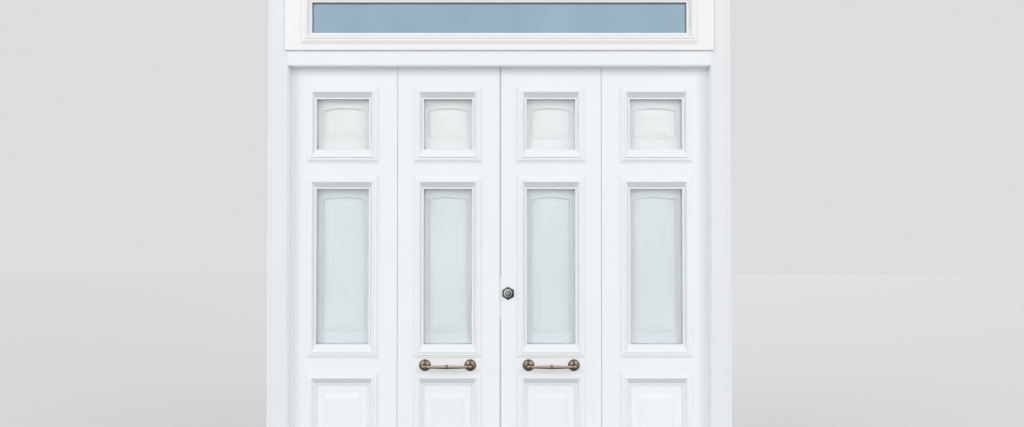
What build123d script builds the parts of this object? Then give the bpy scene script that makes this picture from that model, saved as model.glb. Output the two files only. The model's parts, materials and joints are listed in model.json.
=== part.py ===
from build123d import *
from math import cos, pi
import os

os.makedirs("parts", exist_ok=True)

# A four-leaf folding french door in its frame, with a top-hung transom light.
# X runs along the wall, Y from the street to the room, Z up.
# The origin is the centre of the threshold's underside.

# Frame
frame_width = 2000.0
frame_height = 2670.0
leaf_recess = 55.0
leaf_thickness = 62.0
jamb_face = 84.0
jamb_step_width = 16.0
jamb_step_depth = 3.0
stop_lap = 12.0
edge_gap = 4.0
seal_space = 3.0
seal_width = 8.0
touch_gap = 0.3
sill_height = 30.0
sill_upstand = 12.0
sill_fall = 8.0
bottom_gap = 5.0
bar_face = 64.0
head_face = 70.0

# Transom light
transom_height = 283.0
transom_lap = 10.0
transom_lip = 11.0
transom_lip_gap = 1.0
transom_body_depth = 40.0
transom_side_gap = 2.0
transom_bottom_gap = 6.0
transom_stop_lap = 20.0
transom_stile = 116.0
transom_rail = 75.0
transom_glass_thickness = 8.0
transom_glass_depth = 18.5
transom_slope = 20.0
transom_hinge_from_edge = 330.0

# Leaves, with stile and rail widths taken to the edge of the glass
outer_leaf_extra = 36.0
meeting_line = 4.5
fold_gap = 3.0
meeting_gap = 6.4
fold_lap = 10.0
fold_lip = 12.0
jamb_stile = 127.0
outer_fold_stile = 125.5
inner_fold_stile = 113.0
passive_meeting_stile = 121.8
active_meeting_stile = 112.8
bottom_rail = 190.0
bottom_panel_height = 638.0
lock_rail = 178.0
frieze_rail = 174.5
small_pane_height = 220.0
top_rail = 151.5

# Glazing and panels
pocket_lap = 20.0
pane_clearance = 2.0
pane_thickness = 6.0
pane_depth = 8.5
panel_depth = 11.5
panel_field_rise = 9.0
panel_back_recess = 10.0
panel_flat_side = 29.0
panel_flat_end = 38.0
panel_bevel = 19.5

# Bolection mouldings
moulding_band_width = 8.0
moulding_band_height = 4.0
moulding_shoulder_width = 12.0
moulding_shoulder_height = 8.0
moulding_crest_width = 7.0
moulding_crest_height = 12.0
moulding_slope_side = 18.0
moulding_slope_end = 30.0
moulding_round = 2.5
moulding_ease = 1.2
moulding_bead_share = 0.35
moulding_bead_width = 7.0
moulding_bead_ease = 1.5

# Inner shutters
shutter_lap = 15.0
shutter_gap = 2.0
shutter_thickness = 22.0
shutter_margin_side = 20.5
shutter_margin_top = 35.0
shutter_margin_bottom = 45.0
shutter_arch_rise = 11.5
shutter_bevel_share = 0.25
shutter_bevel_end = 34.0
shutter_bevel_foot = 1.5
shutter_recess = 8.0
shutter_field_rise = 7.0
shutter_back_recess = 5.0
shutter_back_margin = 42.0
shutter_back_margin_end = 21.0
shutter_knob_radius = 11.0
shutter_knob_stand = 18.0
shutter_knob_rim_stand = 15.0
shutter_knob_foot_radius = 8.0
shutter_knob_neck_radius = 5.0
shutter_knob_neck_stand = 9.0
shutter_knob_inset = 21.0

# Lift-off hinges of the leaves
hinge_height = 100.0
hinge_knuckle_radius = 7.0
hinge_pin_radius = 3.5
hinge_pin_reach = 26.0
hinge_flap_depth = 32.0
hinge_flap_thickness = 2.5
hinge_clearance = 0.5
running_clearance = 0.05
hinge_from_bottom = 165.0
hinge_from_top = 115.0

# Surface hinges of the shutters and of the transom light
small_hinge_height = 64.0
small_knuckle_radius = 4.5
small_pin_radius = 2.0
small_pin_reach = 20.0
small_web_reach = 3.0
small_flap_width = 24.0
small_flap_thickness = 2.0
shutter_hinge_inset = 170.0

# Pull handles
pull_drop = 2.0
pull_spacing = 198.0
pull_stand = 53.0
pull_rosette_radius = 25.5
pull_rosette_thickness = 5.0
pull_rosette_chamfer = 2.0
pull_post_radius = 6.0
pull_post_flare = 11.5
pull_post_flare_height = 8.0
pull_collar_radius = 8.5
pull_collar_length = 18.0
pull_collar_chamfer = 2.5
pull_bar_end_radius = 6.0
pull_bar_middle_radius = 8.5
pull_ring_radius = 11.0
pull_ring_width = 9.0

# Lock on the active leaf
lock_height = 1263.0
lock_backset = 30.3
escutcheon_across_flats = 50.0
escutcheon_thickness = 6.0
escutcheon_disc_radius = 17.5
escutcheon_chamfer = 2.0
escutcheon_disc_thickness = 3.0
escutcheon_disc_chamfer = 1.0
cylinder_radius = 13.0
cylinder_stand = 2.0
cylinder_chamfer = 1.0
plug_radius = 7.5
plug_stand = 0.8
keyway_width = 2.2
keyway_height = 9.0
keyway_depth = 6.0
rose_radius = 22.0
rose_thickness = 7.0
rose_chamfer = 2.33
turn_length = 36.0
turn_width = 9.0
turn_stand = 16.0
turn_chamfer = 1.5
case_height = 120.0
case_length = 54.0
case_thickness = 16.0
case_below_cylinder = 78.0
forend_height = 180.0
forend_width = 22.0
forend_thickness = 2.5
deadbolt_below_cylinder = 40.0
deadbolt_height = 24.0
deadbolt_thickness = 12.0
deadbolt_length = 44.0
deadbolt_throw = 20.0
deadbolt_clearance = 0.4
deadbolt_inset = 1.0

# Surface bolts on the room faces of leaves 1, 2 and 4
bolt_radius = 6.0
bolt_inset = 65.0
bolt_throw = 25.0
bolt_tip_gap = 3.0
bolt_plate_height = 170.0
bolt_plate_width = 32.0
bolt_plate_thickness = 2.5
bolt_plate_gap = 0.5
bolt_guide_height = 18.0
bolt_guide_width = 22.0
bolt_guide_wall = 3.0
bolt_guide_from_end = 30.0
bolt_knob_radius = 6.0
bolt_knob_stand = 8.0
top_bolt_drop = 365.0
bottom_bolt_rise = 220.0
keep_height = 16.0
keep_thickness = 2.5
keep_foot = 12.0
keep_clearance = 1.0
keep_from_leaf = 5.0

# Holes in the jambs for the screws that hold the frame in its wall
fixing_radius = 5.0
fixing_first = 450.0
fixing_spacing = 500.0
fixing_count = 4

# Places that follow from the sizes
frame_depth = leaf_recess + leaf_thickness
street_face = -frame_depth / 2
room_face = frame_depth / 2
leaf_front = street_face + leaf_recess
stop_back = leaf_front - seal_space
opening_half = frame_width / 2 - jamb_face
leaf_edge = opening_half + stop_lap
rebate_face = leaf_edge + edge_gap
lip_bottom = frame_height - head_face - transom_height
lip_top = frame_height - head_face
bar_bottom = lip_bottom - bar_face
bar_top = lip_bottom + transom_lap
head_bottom = lip_top - transom_lap
leaf_bottom = sill_height + bottom_gap
leaf_top = bar_bottom + stop_lap
leaf_rebate_top = leaf_top + edge_gap
upstand_top = sill_height + sill_upstand

transom_front = street_face - transom_lip_gap - transom_lip
transom_back = street_face + transom_body_depth
transom_stop = transom_back + seal_space
transom_lip_half = opening_half + transom_lap
transom_body_half = opening_half - transom_side_gap
transom_body_bottom = bar_top + transom_bottom_gap
transom_body_top = head_bottom - transom_side_gap
transom_stop_half = opening_half - transom_stop_lap
transom_stop_bottom = bar_top + transom_stop_lap
transom_stop_top = head_bottom - transom_stop_lap
transom_sight_x = (transom_stile - transom_lip_half, transom_lip_half - transom_stile)
transom_sight_z = (lip_bottom + transom_rail, lip_top - transom_rail)
transom_glass_front = transom_front + transom_glass_depth
transom_glass_back = transom_glass_front + transom_glass_thickness
transom_axis_y = transom_front - small_flap_thickness + small_knuckle_radius
transom_axis_z = lip_top + small_knuckle_radius + hinge_clearance

panel_z = (leaf_bottom + bottom_rail, leaf_bottom + bottom_rail + bottom_panel_height)
small_pane_z = (leaf_top - top_rail - small_pane_height, leaf_top - top_rail)
tall_pane_z = (panel_z[1] + lock_rail, small_pane_z[0] - frieze_rail)
pane_front = leaf_front + pane_depth
pane_back = pane_front + pane_thickness
panel_front = leaf_front + panel_depth
panel_back = room_face - panel_back_recess
shutter_front = room_face - shutter_thickness
shutter_seat = shutter_front - touch_gap
shutter_z = (tall_pane_z[0] - shutter_lap + shutter_gap, small_pane_z[1] + shutter_lap - shutter_gap)
shutter_axis_y = room_face + small_knuckle_radius + touch_gap
pane_lap = pocket_lap - pane_clearance
hinge_axis_y = room_face + hinge_knuckle_radius + hinge_clearance
hinge_low, hinge_high = leaf_bottom + hinge_from_bottom, leaf_top - hinge_from_top
hinge_heights = (hinge_low, (hinge_low + hinge_high) / 2, hinge_high)
pull_height = (panel_z[1] + tall_pane_z[0]) / 2 - pull_drop
bolt_y = room_face + bolt_plate_thickness + bolt_plate_gap + bolt_radius
bolt_tail = bolt_plate_height / 2 + bolt_throw - bolt_guide_height / 2
top_bolt_height = leaf_top - top_bolt_drop
bottom_bolt_height = leaf_bottom + bottom_bolt_rise
fixing_heights = [fixing_first + i * fixing_spacing for i in range(fixing_count)]

fold_line = (leaf_edge - outer_leaf_extra) / 2
fold_front = fold_line + fold_gap / 2
fold_back = fold_line - fold_gap / 2
fold_axis_x = fold_line + fold_lap
jamb_axis_x = (leaf_edge + rebate_face) / 2
meeting_low = meeting_line - meeting_gap / 2
meeting_high = meeting_line + meeting_gap / 2


def grown(pair, amount):
    return (pair[0] - amount, pair[1] + amount)


def about(middle, half):
    return (middle - half, middle + half)


lock_x = meeting_high + lock_backset
cylinder_front = leaf_front - escutcheon_thickness - escutcheon_disc_thickness - cylinder_stand
cylinder_y = (cylinder_front, room_face)
plug_front = cylinder_front - plug_stand
turn_back = room_face + rose_thickness + hinge_clearance
case_middle_y = (leaf_front + room_face) / 2
case_middle_z = lock_height - case_below_cylinder + case_height / 2
case_x = (meeting_high + forend_thickness, meeting_high + forend_thickness + case_length)
case_y = about(case_middle_y, case_thickness / 2)
case_z = about(case_middle_z, case_height / 2)
forend_y = about(case_middle_y, forend_width / 2)
forend_z = about(case_middle_z, forend_height / 2)
deadbolt_x = (meeting_high + deadbolt_inset, meeting_high + deadbolt_inset + deadbolt_length)
deadbolt_y = about(case_middle_y, deadbolt_thickness / 2)
deadbolt_z = about(lock_height - deadbolt_below_cylinder, deadbolt_height / 2)
strike_y = grown(deadbolt_y, keep_clearance)
strike_z = grown(deadbolt_z, keep_clearance)


class Leaf:
    """The plan of one leaf: its front and rear edges and the edges of its glass, low X first."""

    def __init__(self, number, front, rear, stiles, hinge_side, bolt_side):
        self.number = number
        self.front = front
        self.rear = rear
        self.sight = (front[0] + stiles[0], front[1] - stiles[1])
        self.hinge_side = hinge_side
        self.bolt_side = bolt_side

    def name(self, piece):
        return f"leaf_{self.number}_{piece}"


def bolt_x(leaf):
    """The bolts stand a set distance in from the leaf's free or folding edge."""
    return leaf.rear[1] - bolt_inset if leaf.bolt_side > 0 else leaf.rear[0] + bolt_inset


leaf_1 = Leaf(
    1,
    (-leaf_edge, -fold_front),
    (-leaf_edge, -fold_front - fold_lap),
    (jamb_stile, outer_fold_stile),
    -1,
    1,
)
leaf_2 = Leaf(
    2,
    (-fold_back, meeting_low),
    (-fold_back - fold_lap, meeting_low),
    (inner_fold_stile, passive_meeting_stile),
    -1,
    1,
)
leaf_3 = Leaf(
    3,
    (meeting_high, fold_back),
    (meeting_high, fold_back + fold_lap),
    (active_meeting_stile, inner_fold_stile),
    1,
    0,
)
leaf_4 = Leaf(
    4,
    (fold_front, leaf_edge),
    (fold_front + fold_lap, leaf_edge),
    (outer_fold_stile, jamb_stile),
    1,
    -1,
)
leaves = (leaf_1, leaf_2, leaf_3, leaf_4)
bolted_leaves = (leaf_1, leaf_2, leaf_4)


def save(piece, label):
    piece.label = label
    export_step(piece, f"parts/{label}.step")


def street_plane(y):
    """An upright plane at depth y that looks to the street: local x is X and local y is Z."""
    return Plane.XZ.offset(-y)


def slab(x, y, z, mode=Mode.ADD):
    """A rectangular block between the given low and high faces."""
    with Locations(((x[0] + x[1]) / 2, (y[0] + y[1]) / 2, (z[0] + z[1]) / 2)):
        Box(x[1] - x[0], y[1] - y[0], z[1] - z[0], mode=mode)


def rectangle_at(y, x, z):
    """A rectangle on the upright plane at depth y."""
    with BuildSketch(street_plane(y)) as outline:
        with Locations(((x[0] + x[1]) / 2, (z[0] + z[1]) / 2)):
            Rectangle(x[1] - x[0], z[1] - z[0])
    return outline.sketch


def upright_rod(x, y, z, radius, mode=Mode.ADD):
    with Locations((x, y, (z[0] + z[1]) / 2)):
        Cylinder(radius, z[1] - z[0], mode=mode)


def cross_rod(x, y, z, radius, mode=Mode.ADD):
    """A round bar along Y."""
    with Locations((x, (y[0] + y[1]) / 2, z)):
        Cylinder(radius, y[1] - y[0], rotation=(90, 0, 0), mode=mode)


def lengthwise_rod(x, y, z, radius, mode=Mode.ADD):
    """A round bar along X."""
    with Locations(((x[0] + x[1]) / 2, y, z)):
        Cylinder(radius, x[1] - x[0], rotation=(0, 90, 0), mode=mode)


# The frame's members, each from its own section

def block(x, y, z):
    """One rectangular member by itself."""
    with BuildPart() as member:
        slab(sorted(x), y, z)
    return member.part


def jamb(side):
    """One side post, with the stop for the leaves, the lining above them and the transom light's stop."""
    outer, face, inner = side * frame_width / 2, side * rebate_face, side * opening_half
    with BuildPart() as post:
        slab(sorted((face, outer)), (street_face, room_face), (0, frame_height))
        step_x = sorted((outer - side * jamb_step_width, outer))
        slab(step_x, (street_face, street_face + jamb_step_depth), (0, frame_height), Mode.SUBTRACT)
        fixing_y = (stop_back + room_face) / 2
        for z in fixing_heights:
            lengthwise_rod(sorted((face, outer)), fixing_y, z, fixing_radius, Mode.SUBTRACT)
        for z in hinge_heights:
            flap_x = sorted((face, face + side * hinge_flap_thickness))
            slab(flap_x, (room_face - hinge_flap_depth, room_face), half_heights(z), Mode.SUBTRACT)
    return Compound(
        [
            post.part,
            block((inner, face), (street_face, stop_back), (0, frame_height)),
            block((inner, face), (stop_back, room_face), (leaf_rebate_top, frame_height)),
            block(
                (side * transom_stop_half, inner),
                (transom_stop, room_face),
                (transom_stop_bottom, transom_stop_top),
            ),
        ]
    )


def half_heights(z):
    return about(z, hinge_height / 2)


save(jamb(-1), "frame_jamb_left")
save(jamb(1), "frame_jamb_right")

opening_x = (-opening_half, opening_half)
planted_y = (transom_stop, room_face)

head = block(opening_x, (street_face, room_face), (head_bottom, frame_height))
head_stop = block(opening_x, planted_y, (transom_stop_top, head_bottom))
save(Compound([head, head_stop]), "frame_head")

bar = block(opening_x, (street_face, room_face), (leaf_rebate_top, bar_top))
bar_leaf_stop = block(opening_x, (street_face, stop_back), (bar_bottom, leaf_rebate_top))
bar_transom_stop = block(opening_x, planted_y, (bar_top, transom_stop_bottom))
save(Compound([bar, bar_leaf_stop, bar_transom_stop]), "transom_bar")

with BuildPart() as sill:
    slab(opening_x, (street_face, stop_back), (0, sill_height))
    slab((-rebate_face, rebate_face), (stop_back, room_face), (0, sill_height))

with BuildPart() as weather_bar:
    with BuildSketch(Plane.YZ):
        with BuildLine():
            Polyline(
                (street_face, sill_height),
                (stop_back, sill_height),
                (stop_back, upstand_top),
                (street_face, upstand_top - sill_fall),
                close=True,
            )
        make_face()
    extrude(amount=opening_half, both=True)
save(Compound([sill.part, weather_bar.part]), "threshold")

# Each keep is a bent strap that a thrown bolt enters

keep_inner_half = bolt_radius + keep_clearance
keep_outer_half = keep_inner_half + keep_thickness
keep_inner_y = bolt_y + keep_inner_half
keep_top_z = leaf_rebate_top + keep_from_leaf
keep_bottom_z = sill_height - keep_from_leaf

with BuildPart() as bolt_keeps:
    for leaf in bolted_leaves:
        for z in ((keep_top_z, keep_top_z + keep_height), (keep_bottom_z - keep_height, keep_bottom_z)):
            feet_x = about(bolt_x(leaf), keep_outer_half + keep_foot)
            slab(feet_x, (room_face, room_face + keep_thickness), z)
            slab(about(bolt_x(leaf), keep_outer_half), (room_face, keep_inner_y + keep_thickness), z)
            slab(about(bolt_x(leaf), keep_inner_half), (room_face, keep_inner_y), z, Mode.SUBTRACT)
save(bolt_keeps.part, "bolt_keeps")

with BuildPart() as frame_seals:
    leaf_seal_y = (stop_back, leaf_front - touch_gap)
    transom_seal_y = (transom_back + touch_gap, transom_stop)
    for side in (-1, 1):
        seal_x = sorted((side * opening_half, side * (opening_half + seal_width)))
        slab(seal_x, leaf_seal_y, (upstand_top, bar_bottom + seal_width))
        seal_x = sorted((side * transom_stop_half, side * (transom_stop_half + seal_width)))
        slab(seal_x, transom_seal_y, (transom_stop_bottom, transom_stop_top))
    slab((-opening_half, opening_half), leaf_seal_y, (bar_bottom, bar_bottom + seal_width))
    seal_x = (-transom_stop_half, transom_stop_half)
    slab(seal_x, transom_seal_y, (transom_stop_bottom - seal_width, transom_stop_bottom))
    slab(seal_x, transom_seal_y, (transom_stop_top, transom_stop_top + seal_width))
save(frame_seals.part, "frame_seals")


# Lift-off hinges: the lower half has the pin and stays, the upper half drops over it

def lift_off_half(axis_x, side, edge, z, upper):
    """One hinge half: its flap let into the edge at axis_x + side * edge, and its half of the knuckle."""
    knuckle_z = (z + hinge_clearance / 2, z + hinge_height / 2)
    if not upper:
        knuckle_z = (z - hinge_height / 2, z - hinge_clearance / 2)
    flap_x = sorted((axis_x + side * edge, axis_x + side * (edge + hinge_flap_thickness)))
    slab(flap_x, (room_face - hinge_flap_depth, room_face), half_heights(z))
    slab(flap_x, (room_face, hinge_axis_y), knuckle_z)
    upright_rod(axis_x, hinge_axis_y, knuckle_z, hinge_knuckle_radius)
    if upper:
        bore_z = (knuckle_z[0], z + hinge_pin_reach + hinge_clearance)
        upright_rod(axis_x, hinge_axis_y, bore_z, hinge_pin_radius + running_clearance, Mode.SUBTRACT)
    else:
        pin_z = (knuckle_z[1], z + hinge_pin_reach)
        upright_rod(axis_x, hinge_axis_y, pin_z, hinge_pin_radius)


def surface_half(axis_x, side, z, upper):
    """Half of a small hinge on the room faces: a flat flap and its half of the knuckle."""
    knuckle_z = (z + hinge_clearance / 2, z + small_hinge_height / 2)
    if not upper:
        knuckle_z = (z - small_hinge_height / 2, z - hinge_clearance / 2)
    reach = small_knuckle_radius + hinge_clearance
    flap_x = sorted((axis_x + side * reach, axis_x + side * (reach + small_flap_width)))
    web_x = sorted((axis_x + side * (small_web_reach), axis_x + side * reach))
    flap_y = (room_face, room_face + small_flap_thickness)
    slab(flap_x, flap_y, about(z, small_hinge_height / 2))
    slab(web_x, flap_y, knuckle_z)
    upright_rod(axis_x, shutter_axis_y, knuckle_z, small_knuckle_radius)
    if upper:
        bore_z = (knuckle_z[0], z + small_pin_reach + hinge_clearance)
        upright_rod(axis_x, shutter_axis_y, bore_z, small_pin_radius + running_clearance, Mode.SUBTRACT)
    else:
        pin_z = (knuckle_z[1], z + small_pin_reach)
        upright_rod(axis_x, shutter_axis_y, pin_z, small_pin_radius)


def shutter_edge(leaf):
    """The line midway in the gap beside the shutter's hinged edge."""
    if leaf.hinge_side < 0:
        return leaf.sight[0] - shutter_lap + shutter_gap / 2
    return leaf.sight[1] + shutter_lap - shutter_gap / 2


shutter_hinge_heights = (shutter_z[0] + shutter_hinge_inset, shutter_z[1] - shutter_hinge_inset)

with BuildPart() as frame_hinges:
    for side in (-1, 1):
        for z in hinge_heights:
            lift_off_half(side * jamb_axis_x, side, edge_gap / 2, z, False)
save(frame_hinges.part, "frame_hinges")


def hinge_edges(leaf):
    """Each hinged edge: its axis, the side its flaps lie on, their distance, and if they drop on."""
    outward = leaf.hinge_side
    if leaf in (leaf_1, leaf_4):
        return (
            (outward * jamb_axis_x, -outward, edge_gap / 2, True),
            (outward * fold_axis_x, outward, fold_gap / 2, False),
        )
    return ((outward * fold_axis_x, -outward, fold_gap / 2, True),)


for leaf in leaves:
    with BuildPart() as leaf_hinges:
        for axis_x, side, edge, upper in hinge_edges(leaf):
            for z in hinge_heights:
                lift_off_half(axis_x, side, edge, z, upper)
        for z in shutter_hinge_heights:
            surface_half(shutter_edge(leaf), leaf.hinge_side, z, False)
    save(leaf_hinges.part, leaf.name("hinges"))


# Mouldings: a stepped band, a rounded crest, and a slope down to a flat bead beside the glass

def bolection(x, z, face_y, seat_y, slope_side, slope_end):
    """A raised moulding round the sight edges x and z, on the face at face_y, seated at seat_y."""
    crest_x, crest_z = grown(x, slope_side), grown(z, slope_end)
    crest_y = face_y - moulding_crest_height
    shoulder = moulding_crest_width + moulding_shoulder_width
    steps = (
        (shoulder + moulding_band_width, moulding_band_height),
        (shoulder, moulding_shoulder_height),
        (moulding_crest_width, moulding_crest_height),
    )
    with BuildPart() as ring:
        for width, height in steps:
            slab(grown(crest_x, width), (face_y - height, face_y), grown(crest_z, width))
            rim = ring.edges().filter_by_position(Axis.Y, face_y - height, face_y - height)
            fillet(rim, moulding_round)
        slab(grown(x, pane_lap), (face_y, seat_y), grown(z, pane_lap))
        bead_y = face_y + (seat_y - face_y) * moulding_bead_share
        loft(
            [
                rectangle_at(crest_y, grown(crest_x, moulding_ease), grown(crest_z, moulding_ease)),
                rectangle_at(
                    crest_y + moulding_ease,
                    grown(crest_x, -moulding_ease),
                    grown(crest_z, -moulding_ease),
                ),
                rectangle_at(bead_y, grown(x, moulding_bead_width), grown(z, moulding_bead_width)),
            ],
            ruled=True,
            mode=Mode.SUBTRACT,
        )
        loft(
            [
                rectangle_at(bead_y, grown(x, moulding_bead_ease), grown(z, moulding_bead_ease)),
                rectangle_at(bead_y + moulding_bead_ease, x, z),
            ],
            mode=Mode.SUBTRACT,
        )
        slab(x, (bead_y, seat_y), z, Mode.SUBTRACT)
    return ring.part


with BuildPart() as transom_sash:
    slab(
        (-transom_lip_half, transom_lip_half),
        (transom_front, transom_front + transom_lip),
        (lip_bottom, lip_top),
    )
    slab(
        (-transom_body_half, transom_body_half),
        (transom_front + transom_lip, transom_back),
        (transom_body_bottom, transom_body_top),
    )
    pocket_x, pocket_z = grown(transom_sight_x, pocket_lap), grown(transom_sight_z, pocket_lap)
    slab(pocket_x, (transom_front, transom_glass_back), pocket_z, Mode.SUBTRACT)
    slab(transom_sight_x, (transom_glass_back, transom_back), transom_sight_z, Mode.SUBTRACT)
    split(bisect_by=Plane.YZ.offset(transom_sight_x[0]), keep=Keep.BOTH)
    split(bisect_by=Plane.YZ.offset(transom_sight_x[1]), keep=Keep.BOTH)
save(transom_sash.part, "transom_sash")

with BuildPart() as transom_glass:
    glass_y = (transom_glass_front, transom_glass_back)
    slab(grown(transom_sight_x, pane_lap), glass_y, grown(transom_sight_z, pane_lap))
save(transom_glass.part, "transom_glass")

save(
    bolection(
        transom_sight_x,
        transom_sight_z,
        transom_front,
        transom_glass_front,
        transom_slope,
        transom_slope,
    ),
    "transom_moulding",
)

hinge_spread = transom_lip_half - transom_hinge_from_edge
transom_hinge_places = (-hinge_spread, 0.0, hinge_spread)
knuckle_reach = small_knuckle_radius + hinge_clearance

with BuildPart() as transom_hinges:
    for x in transom_hinge_places:
        flap_y = (street_face - small_flap_thickness, street_face)
        flap_z = (transom_axis_z + knuckle_reach, transom_axis_z + knuckle_reach + small_flap_width)
        knuckle_x = (x - small_hinge_height / 2, x - hinge_clearance / 2)
        slab(about(x, small_hinge_height / 2), flap_y, flap_z)
        slab(knuckle_x, flap_y, (transom_axis_z, flap_z[0]))
        slab(knuckle_x, (transom_axis_y, street_face), about(transom_axis_z, small_flap_thickness / 2))
        lengthwise_rod(knuckle_x, transom_axis_y, transom_axis_z, small_knuckle_radius)
        lengthwise_rod((knuckle_x[1], x + small_pin_reach), transom_axis_y, transom_axis_z, small_pin_radius)
save(transom_hinges.part, "transom_hinges")

with BuildPart() as transom_sash_hinges:
    for x in transom_hinge_places:
        flap_y = (transom_front - small_flap_thickness, transom_front)
        knuckle_x = (x + hinge_clearance / 2, x + small_hinge_height / 2)
        slab(about(x, small_hinge_height / 2), flap_y, (lip_top - small_flap_width, lip_top))
        slab(knuckle_x, flap_y, (lip_top, transom_axis_z))
        lengthwise_rod(knuckle_x, transom_axis_y, transom_axis_z, small_knuckle_radius)
        bore_x = (knuckle_x[0], x + small_pin_reach + hinge_clearance)
        bore_radius = small_pin_radius + running_clearance
        lengthwise_rod(bore_x, transom_axis_y, transom_axis_z, bore_radius, Mode.SUBTRACT)
save(transom_sash_hinges.part, "transom_sash_hinges")


# The leaves

def lip_step(leaf):
    """The depth of the fold's step: the inner leaf's lies deeper, so that it stands clear of the lip."""
    if leaf in (leaf_1, leaf_4):
        return leaf_front + fold_lip
    return leaf_front + fold_lip + fold_gap


def leaf_frame(leaf):
    """The stiles and rails of one leaf, rebated for its glass, panel and shutter."""
    with BuildPart() as frame:
        slab(leaf.front, (leaf_front, lip_step(leaf)), (leaf_bottom, leaf_top))
        slab(leaf.rear, (lip_step(leaf), room_face), (leaf_bottom, leaf_top))
        pocket_x = grown(leaf.sight, pocket_lap)
        for z, seat_back in ((small_pane_z, pane_back), (tall_pane_z, pane_back), (panel_z, panel_back)):
            slab(pocket_x, (leaf_front, seat_back), grown(z, pocket_lap), Mode.SUBTRACT)
            slab(leaf.sight, (seat_back, room_face), z, Mode.SUBTRACT)
        shutter_hole_z = grown(shutter_z, shutter_gap)
        slab(grown(leaf.sight, shutter_lap), (shutter_seat, room_face), shutter_hole_z, Mode.SUBTRACT)
        for axis_x, side, edge, upper in hinge_edges(leaf):
            flap_x = sorted((axis_x + side * edge, axis_x + side * (edge + hinge_flap_thickness)))
            for z in hinge_heights:
                slab(flap_x, (room_face - hinge_flap_depth, room_face), half_heights(z), Mode.SUBTRACT)
        if leaf is leaf_2:
            slab((meeting_low - forend_thickness, meeting_low), forend_y, forend_z, Mode.SUBTRACT)
            slab((meeting_low - deadbolt_throw, meeting_low), strike_y, strike_z, Mode.SUBTRACT)
        if leaf is leaf_3:
            slab((meeting_high, case_x[1]), case_y, case_z, Mode.SUBTRACT)
            slab((meeting_high, case_x[0]), forend_y, forend_z, Mode.SUBTRACT)
            bore_radius = cylinder_radius + touch_gap
            cross_rod(lock_x, (leaf_front, room_face), lock_height, bore_radius, Mode.SUBTRACT)
        split(bisect_by=Plane.YZ.offset(leaf.sight[0]), keep=Keep.BOTH)
        split(bisect_by=Plane.YZ.offset(leaf.sight[1]), keep=Keep.BOTH)
    return frame.part


def leaf_mouldings(leaf):
    """The three bolection mouldings on a leaf's street face."""
    with BuildPart() as mouldings:
        for z, seat_y in ((small_pane_z, pane_front), (tall_pane_z, pane_front), (panel_z, panel_front)):
            add(bolection(leaf.sight, z, leaf_front, seat_y, moulding_slope_side, moulding_slope_end))
    return mouldings.part


def bottom_panel(leaf):
    """The raised and fielded panel at the foot of a leaf."""
    with BuildPart() as panel:
        slab(grown(leaf.sight, pane_lap), (panel_front, panel_back), grown(panel_z, pane_lap))
        foot_x, foot_z = grown(leaf.sight, -panel_flat_side), grown(panel_z, -panel_flat_end)
        field_x, field_z = grown(foot_x, -panel_bevel), grown(foot_z, -panel_bevel)
        loft(
            [
                rectangle_at(panel_front, foot_x, foot_z),
                rectangle_at(panel_front - panel_field_rise, field_x, field_z),
            ]
        )
    return panel.part


def pane(leaf, z):
    with BuildPart() as glass:
        slab(grown(leaf.sight, pane_lap), (pane_front, pane_back), grown(z, pane_lap))
    return glass.part


def arched_outline(y, x, z):
    """A panel outline on the plane at depth y, its top and bottom edges bowed outwards."""
    middle = (x[0] + x[1]) / 2
    with BuildSketch(street_plane(y)) as outline:
        with BuildLine():
            ThreePointArc(
                (x[0], z[1] - shutter_arch_rise), (middle, z[1]), (x[1], z[1] - shutter_arch_rise)
            )
            Line((x[1], z[1] - shutter_arch_rise), (x[1], z[0] + shutter_arch_rise))
            ThreePointArc(
                (x[1], z[0] + shutter_arch_rise), (middle, z[0]), (x[0], z[0] + shutter_arch_rise)
            )
            Line((x[0], z[0] + shutter_arch_rise), (x[0], z[1] - shutter_arch_rise))
        make_face()
    return outline.sketch


def shutter_panel(leaf, pane_z):
    """The sides and ends of the shutter's arched panel behind the pane at pane_z."""
    x = grown(leaf.sight, -shutter_margin_side)
    return x, (pane_z[0] + shutter_margin_bottom, pane_z[1] - shutter_margin_top)


def bevelled_field(leaf, pane_z):
    """A field raised from the floor of its recess, with flat bevels that meet in mitres at its corners."""
    x, z = shutter_panel(leaf, pane_z)
    floor = shutter_front + shutter_recess
    top = floor - shutter_field_rise
    foot_x, foot_z = grown(x, shutter_bevel_foot), grown(z, shutter_bevel_foot)
    flat_x = grown(x, shutter_bevel_share * (x[0] - x[1]))
    flat_z = grown(z, -shutter_bevel_end)
    with BuildPart() as field:
        with BuildSketch(Plane.XY.offset(foot_z[0])):
            Polygon((foot_x[0], floor), (foot_x[1], floor), (flat_x[1], top), (flat_x[0], top), align=None)
        extrude(amount=foot_z[1] - foot_z[0])
        with BuildSketch(Plane.YZ.offset(foot_x[0])):
            Polygon((floor, foot_z[0]), (floor, foot_z[1]), (top, flat_z[1]), (top, flat_z[0]), align=None)
        extrude(amount=foot_x[1] - foot_x[0], mode=Mode.INTERSECT)
    return field.part


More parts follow.
